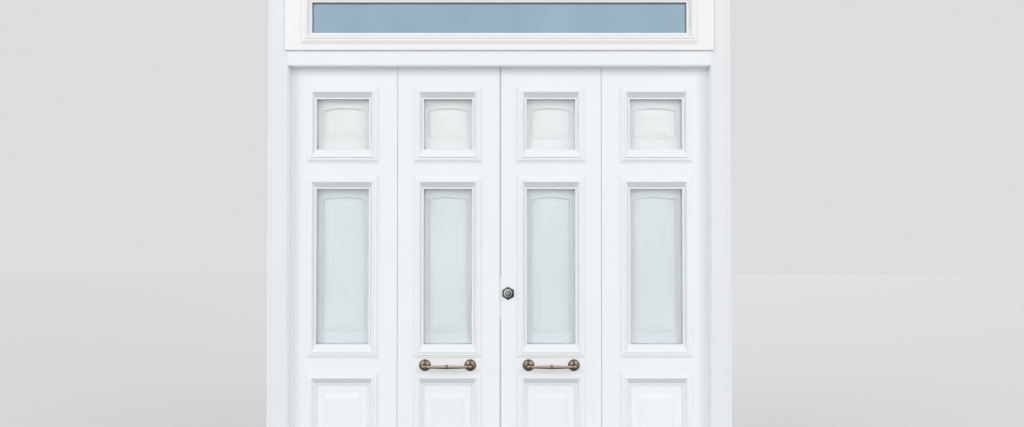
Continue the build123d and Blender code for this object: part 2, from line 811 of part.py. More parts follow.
def shutter(leaf):
    """An inner shutter: two arched raised panels to the street, two flat sunk ones to the room."""
    shutter_panes = (small_pane_z, tall_pane_z)
    fields = [bevelled_field(leaf, pane_z) for pane_z in shutter_panes]
    with BuildPart() as board:
        board_x = grown(leaf.sight, shutter_lap - shutter_gap)
        slab(board_x, (shutter_front, room_face), shutter_z)
        for pane_z, field in zip(shutter_panes, fields):
            x, z = shutter_panel(leaf, pane_z)
            extrude(arched_outline(shutter_front, x, z), amount=-shutter_recess, mode=Mode.SUBTRACT)
            add(field)
            back_x = grown(board_x, -shutter_back_margin)
            back_z = grown(pane_z, -shutter_back_margin_end)
            slab(back_x, (room_face - shutter_back_recess, room_face), back_z, Mode.SUBTRACT)
        for z in shutter_hinge_heights:
            surface_half(shutter_edge(leaf), -leaf.hinge_side, z, True)
        free_edge = board_x[1] if leaf.hinge_side < 0 else board_x[0]
        knob_x = free_edge + leaf.hinge_side * shutter_knob_inset
        knob_z = (tall_pane_z[0] + tall_pane_z[1]) / 2
        with BuildSketch(Plane((knob_x, room_face, knob_z), x_dir=(1, 0, 0), z_dir=(0, 0, 1))):
            with BuildLine():
                top, rim = (0, shutter_knob_stand), (shutter_knob_radius, shutter_knob_rim_stand)
                neck = (shutter_knob_neck_radius, shutter_knob_neck_stand)
                Polyline(top, (0, 0), (shutter_knob_foot_radius, 0), neck, rim)
                TangentArc(top, rim, tangent=(1, 0))
            make_face()
        revolve(axis=Axis((knob_x, room_face, knob_z), (0, 1, 0)))
    return board.part


for leaf in leaves:
    save(leaf_frame(leaf), leaf.name("frame"))
    save(leaf_mouldings(leaf), leaf.name("mouldings"))
    save(bottom_panel(leaf), leaf.name("bottom_panel"))
    save(pane(leaf, small_pane_z), leaf.name("small_pane"))
    save(pane(leaf, tall_pane_z), leaf.name("tall_pane"))
    save(shutter(leaf), f"shutter_{leaf.number}")


# Surface bolts

def surface_bolt(x, height, end_z):
    """A rod from its tail to the leaf's end, with a knob at the middle of its guide plate."""
    direction = 1 if end_z > height else -1
    tail, tip = height - direction * bolt_tail, end_z - direction * bolt_tip_gap
    knob_z = height - direction * bolt_throw / 2
    with BuildPart() as bolt:
        upright_rod(x, bolt_y, sorted((tail, tip)), bolt_radius)
        cross_rod(x, (bolt_y, bolt_y + bolt_radius + bolt_knob_stand), knob_z, bolt_knob_radius)
    return bolt.part


def bolt_guides(leaf):
    """The plates on a leaf's room face, with the guides that its two bolts slide in."""
    x = bolt_x(leaf)
    guide_y = (room_face, bolt_y + bolt_radius + bolt_guide_wall)
    with BuildPart() as guides:
        for height, end_z in ((top_bolt_height, leaf_top), (bottom_bolt_height, leaf_bottom)):
            plate_x, plate_y = about(x, bolt_plate_width / 2), (room_face, room_face + bolt_plate_thickness)
            slab(plate_x, plate_y, about(height, bolt_plate_height / 2))
            direction = 1 if end_z > height else -1
            end_guide = end_z - direction * bolt_guide_from_end
            slab(plate_x, plate_y, about(end_guide, bolt_guide_height / 2))
            reach = (bolt_plate_height - bolt_guide_height) / 2
            for z in (height - reach, height + reach, end_guide):
                slab(about(x, bolt_guide_width / 2), guide_y, about(z, bolt_guide_height / 2))
                bore_z = about(z, bolt_guide_height / 2)
                upright_rod(x, bolt_y, bore_z, bolt_radius + running_clearance, Mode.SUBTRACT)
    return guides.part


for leaf in bolted_leaves:
    save(surface_bolt(bolt_x(leaf), top_bolt_height, leaf_top), f"bolt_{leaf.number}_top")
    save(surface_bolt(bolt_x(leaf), bottom_bolt_height, leaf_bottom), f"bolt_{leaf.number}_bottom")
    save(bolt_guides(leaf), leaf.name("bolt_guides"))


# Pull handles

def pull_handle(leaf):
    """A horizontal pull: two rosettes with posts and a tapered bar with a ring and two collars."""
    centre_x = (leaf.sight[0] + leaf.sight[1]) / 2
    bar_y = leaf_front - pull_stand
    half = pull_spacing / 2
    collar, collar_flat = pull_collar_length / 2, pull_collar_length / 2 - pull_collar_chamfer
    collar_neck = pull_collar_radius - pull_collar_chamfer
    ring, ring_flat = pull_ring_width / 2, pull_ring_width / 2 - (pull_ring_radius - pull_bar_middle_radius)
    with BuildPart() as handle:
        with BuildSketch(Plane((centre_x, bar_y, pull_height), x_dir=(1, 0, 0), z_dir=(0, -1, 0))):
            with BuildLine():
                Polyline(
                    (0, 0),
                    (0, pull_ring_radius),
                    (ring_flat, pull_ring_radius),
                    (ring, pull_bar_middle_radius),
                    (half - collar, pull_bar_end_radius),
                    (half - collar_flat, pull_collar_radius),
                    (half + collar_flat, pull_collar_radius),
                    (half + collar, collar_neck),
                    (half + collar, 0),
                    (0, 0),
                )
            make_face()
            mirror(about=Plane.YZ)
        revolve(axis=Axis((centre_x, bar_y, pull_height), (1, 0, 0)))
        for side in (-1, 1):
            post_x = centre_x + side * half
            with BuildSketch(Plane((post_x, leaf_front, pull_height), x_dir=(1, 0, 0), z_dir=(0, 0, 1))):
                with BuildLine():
                    Polyline(
                        (0, 0),
                        (pull_rosette_radius, 0),
                        (pull_rosette_radius, pull_rosette_chamfer - pull_rosette_thickness),
                        (pull_rosette_radius - pull_rosette_chamfer, -pull_rosette_thickness),
                        (pull_post_flare, -pull_rosette_thickness),
                        (pull_post_radius, -pull_rosette_thickness - pull_post_flare_height),
                        (pull_post_radius, -pull_stand),
                        (0, -pull_stand),
                        (0, 0),
                    )
                make_face()
            revolve(axis=Axis((post_x, leaf_front, pull_height), (0, 1, 0)))
    return handle.part


save(pull_handle(leaf_2), "pull_handle_left")
save(pull_handle(leaf_3), "pull_handle_right")


# The lock

with BuildPart() as lock_escutcheon:
    plate_back = street_plane(leaf_front)
    with BuildSketch(plate_back):
        with Locations((lock_x, lock_height)):
            RegularPolygon(escutcheon_across_flats / 2 / cos(pi / 6), 6, rotation=30)
    extrude(amount=escutcheon_thickness)
    chamfer(lock_escutcheon.faces().sort_by(Axis.Y)[0].edges(), escutcheon_chamfer)
    disc_back = leaf_front - escutcheon_thickness
    disc_front = disc_back - escutcheon_disc_thickness
    cross_rod(lock_x, (disc_front, disc_back), lock_height, escutcheon_disc_radius)
    chamfer(lock_escutcheon.faces().sort_by(Axis.Y)[0].edges(), escutcheon_disc_chamfer)
    cross_rod(lock_x, (disc_front, leaf_front), lock_height, cylinder_radius + touch_gap, Mode.SUBTRACT)
save(lock_escutcheon.part, "lock_escutcheon")

with BuildPart() as lock_cylinder:
    cross_rod(lock_x, cylinder_y, lock_height, cylinder_radius)
    chamfer(lock_cylinder.edges().sort_by(Axis.Y)[0], cylinder_chamfer)
    cross_rod(lock_x, cylinder_y, lock_height, plug_radius + running_clearance, Mode.SUBTRACT)
save(lock_cylinder.part, "lock_cylinder")

with BuildPart() as lock_plug:
    cross_rod(lock_x, (plug_front, turn_back), lock_height, plug_radius)
    slab(
        about(lock_x, keyway_width / 2),
        (plug_front, plug_front + keyway_depth),
        about(lock_height, keyway_height / 2),
        Mode.SUBTRACT,
    )
save(lock_plug.part, "lock_plug")

with BuildPart() as thumb_turn:
    with BuildSketch(street_plane(turn_back)):
        with Locations((lock_x, lock_height)):
            Circle(plug_radius + turn_width / 2)
            SlotOverall(turn_length, turn_width, rotation=90)
    extrude(amount=-turn_stand)
    chamfer(thumb_turn.faces().sort_by(Axis.Y)[-1].edges(), turn_chamfer)
save(thumb_turn.part, "thumb_turn")

with BuildPart() as lock_rose:
    cross_rod(lock_x, (room_face, room_face + rose_thickness), lock_height, rose_radius)
    chamfer(lock_rose.edges().sort_by(Axis.Y)[-1], rose_chamfer)
    rose_bore = plug_radius + touch_gap
    cross_rod(lock_x, (room_face, room_face + rose_thickness), lock_height, rose_bore, Mode.SUBTRACT)
save(lock_rose.part, "lock_rose")

with BuildPart() as lock_case:
    slab((meeting_high, case_x[0]), forend_y, forend_z)
    slab(case_x, case_y, case_z)
    bolt_room_y, bolt_room_z = grown(deadbolt_y, deadbolt_clearance), grown(deadbolt_z, deadbolt_clearance)
    slab((meeting_high, deadbolt_x[1] + deadbolt_clearance), bolt_room_y, bolt_room_z, Mode.SUBTRACT)
    cross_rod(lock_x, case_y, lock_height, cylinder_radius + touch_gap, Mode.SUBTRACT)
save(lock_case.part, "lock_case")

with BuildPart() as deadbolt:
    slab(deadbolt_x, deadbolt_y, deadbolt_z)
save(deadbolt.part, "deadbolt")

with BuildPart() as strike_plate:
    slab((meeting_low - forend_thickness, meeting_low), forend_y, forend_z)
    slab((meeting_low - forend_thickness, meeting_low), strike_y, strike_z, Mode.SUBTRACT)
save(strike_plate.part, "strike_plate")
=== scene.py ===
"""Four painted folding doors under a transom light: finishes, handles, screws and a plain studio."""

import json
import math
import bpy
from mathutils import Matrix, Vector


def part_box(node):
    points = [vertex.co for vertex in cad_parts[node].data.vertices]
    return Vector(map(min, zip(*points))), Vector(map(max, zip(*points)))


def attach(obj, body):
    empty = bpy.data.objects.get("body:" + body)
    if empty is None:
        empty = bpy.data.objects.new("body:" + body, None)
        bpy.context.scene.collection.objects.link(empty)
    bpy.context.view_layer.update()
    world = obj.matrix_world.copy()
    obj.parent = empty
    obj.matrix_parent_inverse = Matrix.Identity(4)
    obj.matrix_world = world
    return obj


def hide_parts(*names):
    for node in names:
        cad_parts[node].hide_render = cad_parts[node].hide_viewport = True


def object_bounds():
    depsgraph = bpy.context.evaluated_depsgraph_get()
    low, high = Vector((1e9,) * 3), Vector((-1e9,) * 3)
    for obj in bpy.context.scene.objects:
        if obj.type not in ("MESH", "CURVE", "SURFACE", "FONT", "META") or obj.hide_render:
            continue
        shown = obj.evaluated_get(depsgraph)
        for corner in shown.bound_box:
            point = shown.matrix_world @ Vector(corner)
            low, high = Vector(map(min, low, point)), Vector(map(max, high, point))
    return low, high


bl_info = {
    "name": "French Doors",
    "version": (1, 0, 0),
    "blender": (4, 5, 0),
    "location": "3D View > Sidebar > Doors",
    "description": "Finishes, pull handles, screws and a studio for four folding doors under a transom light",
    "category": "Object",
}

from collections import defaultdict

import bmesh
import bpy
from bpy.props import FloatProperty, FloatVectorProperty, IntProperty, PointerProperty
from bpy.types import Operator, Panel, PropertyGroup
from mathutils import Vector

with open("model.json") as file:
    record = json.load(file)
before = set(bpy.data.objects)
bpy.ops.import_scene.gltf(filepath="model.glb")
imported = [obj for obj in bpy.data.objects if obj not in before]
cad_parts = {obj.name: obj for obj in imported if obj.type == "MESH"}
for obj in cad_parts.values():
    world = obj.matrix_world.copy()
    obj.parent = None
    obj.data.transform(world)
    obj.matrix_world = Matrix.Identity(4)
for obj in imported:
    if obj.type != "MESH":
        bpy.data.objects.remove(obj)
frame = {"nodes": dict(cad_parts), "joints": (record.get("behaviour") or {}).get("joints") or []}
cad_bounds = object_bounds()
axes = {joint["name"]: joint["pos_m"] for joint in frame["joints"] if "pos_m" in joint}

MM = 0.001
LEAVES = (1, 2, 3, 4)
BOLTED_LEAVES = (1, 2, 4)

# Sizes of the hinges and plates, and how far a pane reaches into its stiles, in metres
LARGE_HINGE_HALF = 0.050
LARGE_KNUCKLE = 0.0070
JAMB_HALF_GAP = 0.0020
FOLD_HALF_GAP = 0.0015
SMALL_HINGE_HALF = 0.032
SMALL_KNUCKLE = 0.0045
SMALL_FLAP = 0.0020
SHUTTER_HINGE_INSET = 0.170
PLATE = 0.0025
PANE_LAP = 0.018

# Places of the frame's faces and of the hinges, from the frame
STREET_FACE, ROOM_FACE = [corner.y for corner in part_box("frame_jamb_left")]
JAMB_AXIS, HINGE_DEPTH, _ = axes["leaf_4_swing"]
FOLD_AXIS = axes["leaf_3_fold"][0]
SHUTTER_HINGE_DEPTH = axes["shutter_4_swing"][1]
hinge_ends = [corner.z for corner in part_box("frame_hinges")]
HINGE_HEIGHTS = (hinge_ends[0] + LARGE_HINGE_HALF, sum(hinge_ends) / 2, hinge_ends[1] - LARGE_HINGE_HALF)

# The colours of the lips in the joints, and the angle past which an edge stays sharp
LIP_GREY = (0.62, 0.63, 0.64)
LIP_PALE = (0.84, 0.85, 0.86)
SHARP_EDGE = math.radians(35)

# The studio: the lamps' angles to the side and up in degrees, the front lamps' shares, and lengths in metres
FRONT_SIDE = 35
FRONT_RISE = 19.5
BACK_SIDE = 165
BACK_RISE = 35
LEFT_SHARE = 1.03
RIGHT_SHARE = 0.97
LAMP_DISTANCE = 8
FLOOR_HALF = 25.0


# The sizes and colours that a user can change

def colour_property(name, description, default):
    return FloatVectorProperty(
        name=name, description=description, default=default, subtype="COLOR", min=0, max=1)


def length_property(name, description, default, low, high):
    return FloatProperty(
        name=name, description=description, default=default, min=low, max=high, unit="LENGTH")


def amount_property(name, description, default, high):
    return FloatProperty(name=name, description=description, default=default, min=0, max=high)


class DoorsPaint(PropertyGroup):
    colour: colour_property(
        "Frame Paint", "Colour of the white paint on the frame", (0.800, 0.825, 0.850))
    leaf_colour: colour_property("Leaf Paint", "Fresher white paint on the doors", (0.865, 0.890, 0.915))
    worn_share: colour_property(
        "Worn Paint", "How much of each colour is left where the paint has yellowed", (0.965, 0.955, 0.94))
    sash_colour: colour_property("Sash Paint", "White paint on the transom light", (0.895, 0.897, 0.903))
    # The shutters' own paint, also given to the frame's reveals and soffits as a painted light
    shutter_paint_and_reveal_light: colour_property(
        "Shutter Paint", "Cleaner paint of the inner shutters, which the weather never reaches",
        (0.93, 0.955, 0.965))
    # Grey of the painted shade in corners and on faces that look down, and of the joints between stiles and
    # rails
    shade_and_joint_grey: colour_property(
        "Shade Grey", "Grey that gathers in the corners of the mouldings", (0.46, 0.47, 0.48))
    # How far the painted shade in the corners reaches
    shade_reach: length_property(
        "Shade Reach", "How far the dirt spreads from a corner", 0.010, 0.001, 0.05)
    # Strength of the painted shade on faces that look down
    underside_shade: amount_property("Underside Shade", "How grey the mouldings are where they look down", 0.44, 1)
    soft_edge: length_property("Soft Edge", "How round the paint makes each edge look", 0.0009, 0, 0.005)


class DoorsGlass(PropertyGroup):
    leaf_colour: colour_property(
        "Door Glass", "Faint green tint of the panes in the doors", (0.935, 0.970, 0.977))
    # Partly the pane's own tint, partly a painted reflection of the blue sky
    transom_tint_and_sky: colour_property(
        "Transom Glass", "Blue-grey tint of the pane above the doors", (0.33, 0.48, 0.59))


class DoorsMetal(PropertyGroup):
    brass: colour_property("Rubbed Brass", "Brass where hands keep it bright", (0.66, 0.55, 0.45))
    patina: colour_property("Patina", "Dark brown in the hollows of the brass", (0.075, 0.058, 0.042))
    dull_brass: colour_property(
        "Dull Brass", "Olive brown of the brass that hands don't rub", (0.27, 0.225, 0.16))
    steel: colour_property("Steel", "Colour of the satin steel fittings", (0.56, 0.57, 0.58))
    dark_steel: colour_property("Dark Steel", "Colour of the lock's plate", (0.085, 0.092, 0.100))
    rubber: colour_property("Rubber", "Colour of the seals", (0.80, 0.81, 0.81))


class DoorsHandles(PropertyGroup):
    ring_radius: length_property(
        "Ring Radius", "Radius of the ring at the middle of the bar", 0.0096, 0.008, 0.02)
    bar_radius: length_property("Bar Radius", "Radius of the bar beside its ring", 0.0078, 0.004, 0.02)
    end_radius: length_property("End Radius", "Radius of the bar beside its posts", 0.0050, 0.003, 0.02)
    segments: IntProperty(
        name="Segments", description="Number of flats round each turned piece",
        default=64, min=12, max=128)


class DoorsScrews(PropertyGroup):
    large_radius: length_property(
        "Large Head", "Radius of the screw heads on the handles and hinges", 0.0032, 0.001, 0.01)
    small_radius: length_property(
        "Small Head", "Radius of the screw heads on the bolts and small hinges", 0.0022, 0.001, 0.01)
    head_height: length_property("Head Height", "How far a screw head stands out", 0.0006, 0.0001, 0.003)
    seed: IntProperty(
        name="Seed", description="Sets the random turn of each slot", default=7, min=0)


class DoorsStage(PropertyGroup):
    background: colour_property("Background", "Pale colour behind the doors", (0.725, 0.725, 0.725))
    reflected: colour_property("Reflected", "White that the glass and the metal show", (0.95, 0.95, 0.95))
    floor_colour: colour_property("Floor", "Pale colour of the floor", (0.73, 0.73, 0.73))
    floor_return: amount_property(
        "Floor Return", "How much light the floor sends back up to the doors", 0.62, 1)
    sky_strength: amount_property("Sky", "Strength of the light from all round", 0.57, 5)
    front_strength: amount_property(
        "Front Lamps", "Strength of each lamp in front, in watts per square metre", 0.865, 20)
    back_strength: amount_property(
        "Back Lamp", "Strength of the lamp behind the doors, in watts per square metre", 0.85, 20)
    lamp_softness: FloatProperty(
        name="Softness", description="How wide each lamp looks, which softens its shadows",
        default=math.radians(32), min=0, max=3, unit="ROTATION")
    camera_x: FloatProperty(
        name="Camera Side", description="How far the camera stands to the right of the middle",
        default=0.055, unit="LENGTH")
    camera_distance: length_property(
        "Camera Distance", "From the street side of the frame to the camera", 3.665, 0.5, 20)
    camera_height: length_property("Camera Height", "Height of the camera above the floor", 1.547, 0.1, 5)
    camera_tilt: FloatProperty(
        name="Camera Tilt", description="How far the camera looks up",
        default=math.radians(1.0), min=-0.5, max=0.5, unit="ROTATION")
    camera_lens: FloatProperty(
        name="Lens", description="Focal length on a 36 mm wide sensor", default=29.88, min=5, max=200)


# Helpers for node trees and meshes

def add(tree, kind, inputs=None, **settings):
    """Adds a node, sets its options, and links or sets the given inputs."""
    node = tree.nodes.new(kind)
    for name, value in settings.items():
        setattr(node, name, value)
    for key, value in (inputs or {}).items():
        if isinstance(value, bpy.types.NodeSocket):
            tree.links.new(value, node.inputs[key])
        else:
            node.inputs[key].default_value = value
    return node


def colour_of(rgb, share=1.0):
    """A colour as a material takes it, darkened to the given share."""
    return (*(share * value for value in rgb), 1.0)


def mix_colour(tree, factor, first, second, blend="MIX"):
    node = add(tree, "ShaderNodeMix", {0: factor, 6: first, 7: second}, data_type="RGBA", blend_type=blend)
    return node.outputs[2]


def ranged(tree, value, low, high, to_low=0.0, to_high=1.0):
    node = add(tree, "ShaderNodeMapRange", {0: value, 1: low, 2: high, 3: to_low, 4: to_high})
    return node.outputs[0]


def math_node(tree, operation, first, second=0.0):
    return add(tree, "ShaderNodeMath", {0: first, 1: second}, operation=operation).outputs[0]


def times(tree, first, second):
    return math_node(tree, "MULTIPLY", first, second)


def minus(tree, first, second):
    return math_node(tree, "SUBTRACT", first, second)


def size_of(tree, value):
    return math_node(tree, "ABSOLUTE", value)


def length_of(tree, node):
    return add(tree, "ShaderNodeVectorMath", {0: node.outputs[0]}, operation="LENGTH").outputs["Value"]


def upward(tree):
    """How far the surface looks up: 1 for a level top and -1 for the face beneath."""
    normal = add(tree, "ShaderNodeNewGeometry").outputs["Normal"]
    return add(tree, "ShaderNodeSeparateXYZ", {0: normal}).outputs[2]


def seen_by_rays(tree):
    """Whether a ray comes from the camera, and whether it comes from there, a reflection or a pane."""
    path = add(tree, "ShaderNodeLightPath").outputs
    seen = math_node(tree, "MAXIMUM", path["Is Camera Ray"], path["Is Glossy Ray"])
    return path["Is Camera Ray"], math_node(tree, "MAXIMUM", seen, path["Is Transmission Ray"])


def new_material(name):
    """An empty material, its node tree, and the object's own coordinates to draw patterns on."""
    material = bpy.data.materials.new(name)
    material.use_nodes = True
    tree = material.node_tree
    tree.nodes.clear()
    place = add(tree, "ShaderNodeTexCoord").outputs["Object"]
    return material, tree, place


def noise(tree, place, scale, detail=3.0, roughness=0.5, stretch=(1, 1, 1)):
    """A noise value on the given coordinates, stretched by the three factors."""
    mapped = add(tree, "ShaderNodeMapping", {"Vector": place, "Scale": stretch})
    node = add(tree, "ShaderNodeTexNoise", {
        "Vector": mapped.outputs[0], "Scale": scale, "Detail": detail, "Roughness": roughness})
    return node.outputs["Fac"]


def soft_edges(tree, radius):
    """The surface's direction, turned near each edge as if the edge were round."""
    return add(tree, "ShaderNodeBevel", {"Radius": radius}, samples=4).outputs[0]


def bumped(tree, height, strength, distance, soft=None):
    """The surface's direction with fine relief, over soft edges where they are given."""
    inputs = {"Height": height, "Strength": strength, "Distance": distance}
    if soft is not None:
        inputs["Normal"] = soft
    return add(tree, "ShaderNodeBump", inputs).outputs[0]


def finish(material, colour, roughness, bump=None, others=None):
    """Ends a material with a Principled shader. others holds further inputs by name."""
    inputs = {"Base Color": colour, "Roughness": roughness, **(others or {})}
    if bump is not None:
        inputs["Normal"] = bump
    shader = add(material.node_tree, "ShaderNodeBsdfPrincipled", inputs)
    add(material.node_tree, "ShaderNodeOutputMaterial", {"Surface": shader.outputs[0]})
    return material


def new_object(name, data):
    """Adds an object with the given data to the scene."""
    made = bpy.data.objects.new(name, data)
    bpy.context.scene.collection.objects.link(made)
    return made


def dress(material, *nodes):
    """Gives CAD nodes their finish."""
    for name in nodes:
        mesh = frame["nodes"][name].data
        mesh.materials.clear()
        mesh.materials.append(material)


# Finishes

def white_paint(name, paint, level=False, rails=None, clean=None, brighten_reveals=False, shade_undersides=False):
    """Satin white paint with brush strokes along each member, painted shade in its corners and soft edges.

    level turns the strokes sideways, rails gives the middle and half width of a leaf's rails, whose
    strokes run sideways between upright stiles, and clean is the paint's colour where it isn't the usual one.
    The next flag gives faces behind the street face, inside the frame, the shutters' paler paint: a painted
    light that brightens the frame's reveals and soffits. The last flag darkens faces that look down: a
    painted shade."""
    material, tree, place = new_material(name)
    split = add(tree, "ShaderNodeSeparateXYZ", {0: place}).outputs
    turned = add(tree, "ShaderNodeCombineXYZ", {0: split[2], 1: split[1], 2: split[0]}).outputs[0]
    strokes_place = turned if level else place
    if rails:
        from_middle = size_of(tree, minus(tree, split[0], rails[0]))
        on_rail = math_node(tree, "LESS_THAN", from_middle, rails[1])
        mixed = add(tree, "ShaderNodeMix", {0: on_rail, 4: place, 5: turned}, data_type="VECTOR")
        strokes_place = mixed.outputs[1]
        from_joint = size_of(tree, minus(tree, from_middle, rails[1]))
        joint = ranged(tree, from_joint, 0.0002, 0.0008, 1.0, 0.0)

    cloudy = noise(tree, place, 2.3, 4.0)
    strokes = noise(tree, strokes_place, 520.0, 4.0, 0.6, stretch=(1, 1, 0.018))
    broad = noise(tree, strokes_place, 60.0, 2.0, stretch=(1, 1, 0.05))
    # Painted shade: the paint turns grey where ambient occlusion finds a corner, in patches, less so on the
    # mouldings
    corners = add(tree, "ShaderNodeAmbientOcclusion", {"Distance": paint.shade_reach}, samples=8)
    most = 0.10 if shade_undersides else 0.28
    shade = ranged(tree, corners.outputs["AO"], 0.35, 0.92, most, 0.0)
    patchy = noise(tree, place, 24.0)
    shade = times(tree, shade, ranged(tree, patchy, 0.3, 0.7, 0.5, 1.0))
    fresh = clean or paint.colour
    shade_and_joint_tone = colour_of(paint.shade_and_joint_grey)
    worn = [first * second for first, second in zip(fresh, paint.worn_share)]
    colour = mix_colour(tree, ranged(tree, cloudy, 0.35, 0.75, 0.0, 0.6), colour_of(fresh), colour_of(worn))
    # Painted light: inside the frame, faces behind the street face take the shutters' paler paint, which
    # brightens the reveals and soffits
    if brighten_reveals:
        behind = ranged(tree, split[1], STREET_FACE + 0.0005, STREET_FACE + 0.003)
        frame_side = JAMB_AXIS + 10 * MM
        inside = math_node(tree, "LESS_THAN", size_of(tree, split[0]), frame_side)
        behind = times(tree, behind, inside)
        colour = mix_colour(tree, behind, colour, colour_of(paint.shutter_paint_and_reveal_light))
    colour = mix_colour(tree, shade, colour, shade_and_joint_tone)
    # Painted shade: faces that look down turn towards the grey
    if shade_undersides:
        under = ranged(tree, upward(tree), -0.15, -0.5, 0.0, paint.underside_shade)
        colour = mix_colour(tree, under, colour, shade_and_joint_tone)
    if rails:
        colour = mix_colour(tree, times(tree, joint, 0.14), colour, shade_and_joint_tone)

    rounded = soft_edges(tree, paint.soft_edge)
    relief = add(tree, "ShaderNodeMix", {0: 0.35, 2: strokes, 3: broad}, data_type="FLOAT").outputs[0]
    if rails:
        relief = minus(tree, relief, times(tree, joint, 0.5))
    bump = bumped(tree, relief, 0.16, 0.0004, rounded)
    roughness = ranged(tree, cloudy, 0.3, 0.7, 0.35, 0.48)
    return finish(material, colour, roughness, bump, {"IOR": 1.46})


def painted_steel(paint):
    """White enamel on steel, a little glossier than the woodwork, with grey where it has rubbed through."""
    material, tree, place = new_material("painted_steel")
    patches = noise(tree, place, 90.0, 5.0, 0.65)
    rounded = soft_edges(tree, 0.0006)
    geometry = add(tree, "ShaderNodeNewGeometry")
    agrees = add(tree, "ShaderNodeVectorMath", {
        0: rounded, 1: geometry.outputs["Normal"]}, operation="DOT_PRODUCT")
    edge = minus(tree, 1.0, agrees.outputs["Value"])
    worn = times(tree, ranged(tree, edge, 0.02, 0.2), ranged(tree, patches, 0.45, 0.62))
    colour = mix_colour(tree, worn, colour_of(paint.colour), (0.40, 0.41, 0.42, 1))
    bump = bumped(tree, patches, 0.08, 0.0003, rounded)
    return finish(material, colour, ranged(tree, patches, 0.3, 0.7, 0.26, 0.38), bump)


def satin_steel(metal):
    """Drawn steel with fine lines up its length and duller patches."""
    material, tree, place = new_material("satin_steel")
    lines = noise(tree, place, 900.0, 3.0, 0.7, stretch=(1, 1, 0.01))
    patches = noise(tree, place, 40.0, 4.0)
    dull = ranged(tree, patches, 0.35, 0.7)
    colour = mix_colour(tree, dull, colour_of(metal.steel), colour_of(metal.steel, 0.72))
    rounded = soft_edges(tree, 0.0004)
    bump = bumped(tree, lines, 0.12, 0.0001, rounded)
    scratched = ranged(tree, lines, 0.3, 0.7, 0.0, 0.1)
    roughness = math_node(tree, "ADD", scratched, ranged(tree, patches, 0, 1, 0.24, 0.4))
    return finish(material, colour, roughness, bump, {"Metallic": 1.0})


def aged_brass(metal, face, height, middle, spread, rosette):
    """Old brass: bright on the bar that hands rub, olive near the face it stands on, dark in its hollows,
    with painted shade on faces that look down.

    face and height place the handles, middle is how far each is from the line between the doors, spread is
    half the distance between its rosettes, and rosette is their radius."""
    material, tree, place = new_material("aged_brass")
    patches = noise(tree, place, 110.0, 5.0, 0.62)
    specks = noise(tree, place, 620.0, 3.0, 0.6)
    hollow = add(tree, "ShaderNodeAmbientOcclusion", {"Distance": 0.012}, samples=12)
    in_hollow = ranged(tree, hollow.outputs["AO"], 0.45, 0.95, 1.0, 0.0)
    mottle = ranged(tree, patches, 0.42, 0.68, 0.0, 0.55)
    split = add(tree, "ShaderNodeSeparateXYZ", {0: place}).outputs
    depth = split[1]
    # Painted shade: faces that look down darken, less so near the face the handle stands on
    up = upward(tree)
    spared = ranged(tree, depth, face - 0.012, face - 0.020, 0.22, 0.0)
    beneath = ranged(tree, math_node(tree, "ADD", up, spared), 0.30, -0.15, 0.0, 0.95)
    from_ring = size_of(tree, minus(tree, size_of(tree, split[0]), middle))
    at_ring = ranged(tree, from_ring, 0.0045, 0.0075, 0.75, 0.0)
    rim_place = add(tree, "ShaderNodeCombineXYZ", {
        0: minus(tree, from_ring, spread), 1: minus(tree, split[2], height)})
    from_post = length_of(tree, rim_place)
    at_rim = ranged(tree, from_post, rosette - 0.0060, rosette - 0.0025, 0.0, 0.80)
    at_rim = times(tree, at_rim, math_node(tree, "GREATER_THAN", depth, face - 0.010))
    dark = in_hollow
    for tarnish in (beneath, mottle, at_ring, at_rim):
        dark = math_node(tree, "MAXIMUM", dark, tarnish)
    rubbed = ranged(tree, depth, face - 0.016, face - 0.034)
    rubbed = times(tree, rubbed, ranged(tree, from_post, 0.004, 0.016, 0.35, 1.0))
    bright = mix_colour(tree, rubbed, colour_of(metal.dull_brass), colour_of(metal.brass))
    colour = mix_colour(tree, dark, bright, colour_of(metal.patina))
    colour = mix_colour(tree, ranged(tree, specks, 0.6, 0.75, 0.0, 0.5), colour, (0.14, 0.11, 0.07, 1))
    bump = bumped(tree, specks, 0.18, 0.0002)
    return finish(material, colour, ranged(tree, dark, 0, 1, 0.27, 0.52), bump, {"Metallic": 1.0})


def old_screw(metal):
    """Screw heads gone almost black with age."""
    material, tree, place = new_material("old_screws")
    specks = noise(tree, place, 900.0, 3.0)
    colour = mix_colour(tree, ranged(tree, specks, 0.4, 0.7), colour_of(metal.patina), (0.16, 0.13, 0.10, 1))
    bump = bumped(tree, specks, 0.2, 0.0002)
    return finish(material, colour, ranged(tree, specks, 0, 1, 0.4, 0.6), bump, {"Metallic": 1.0})


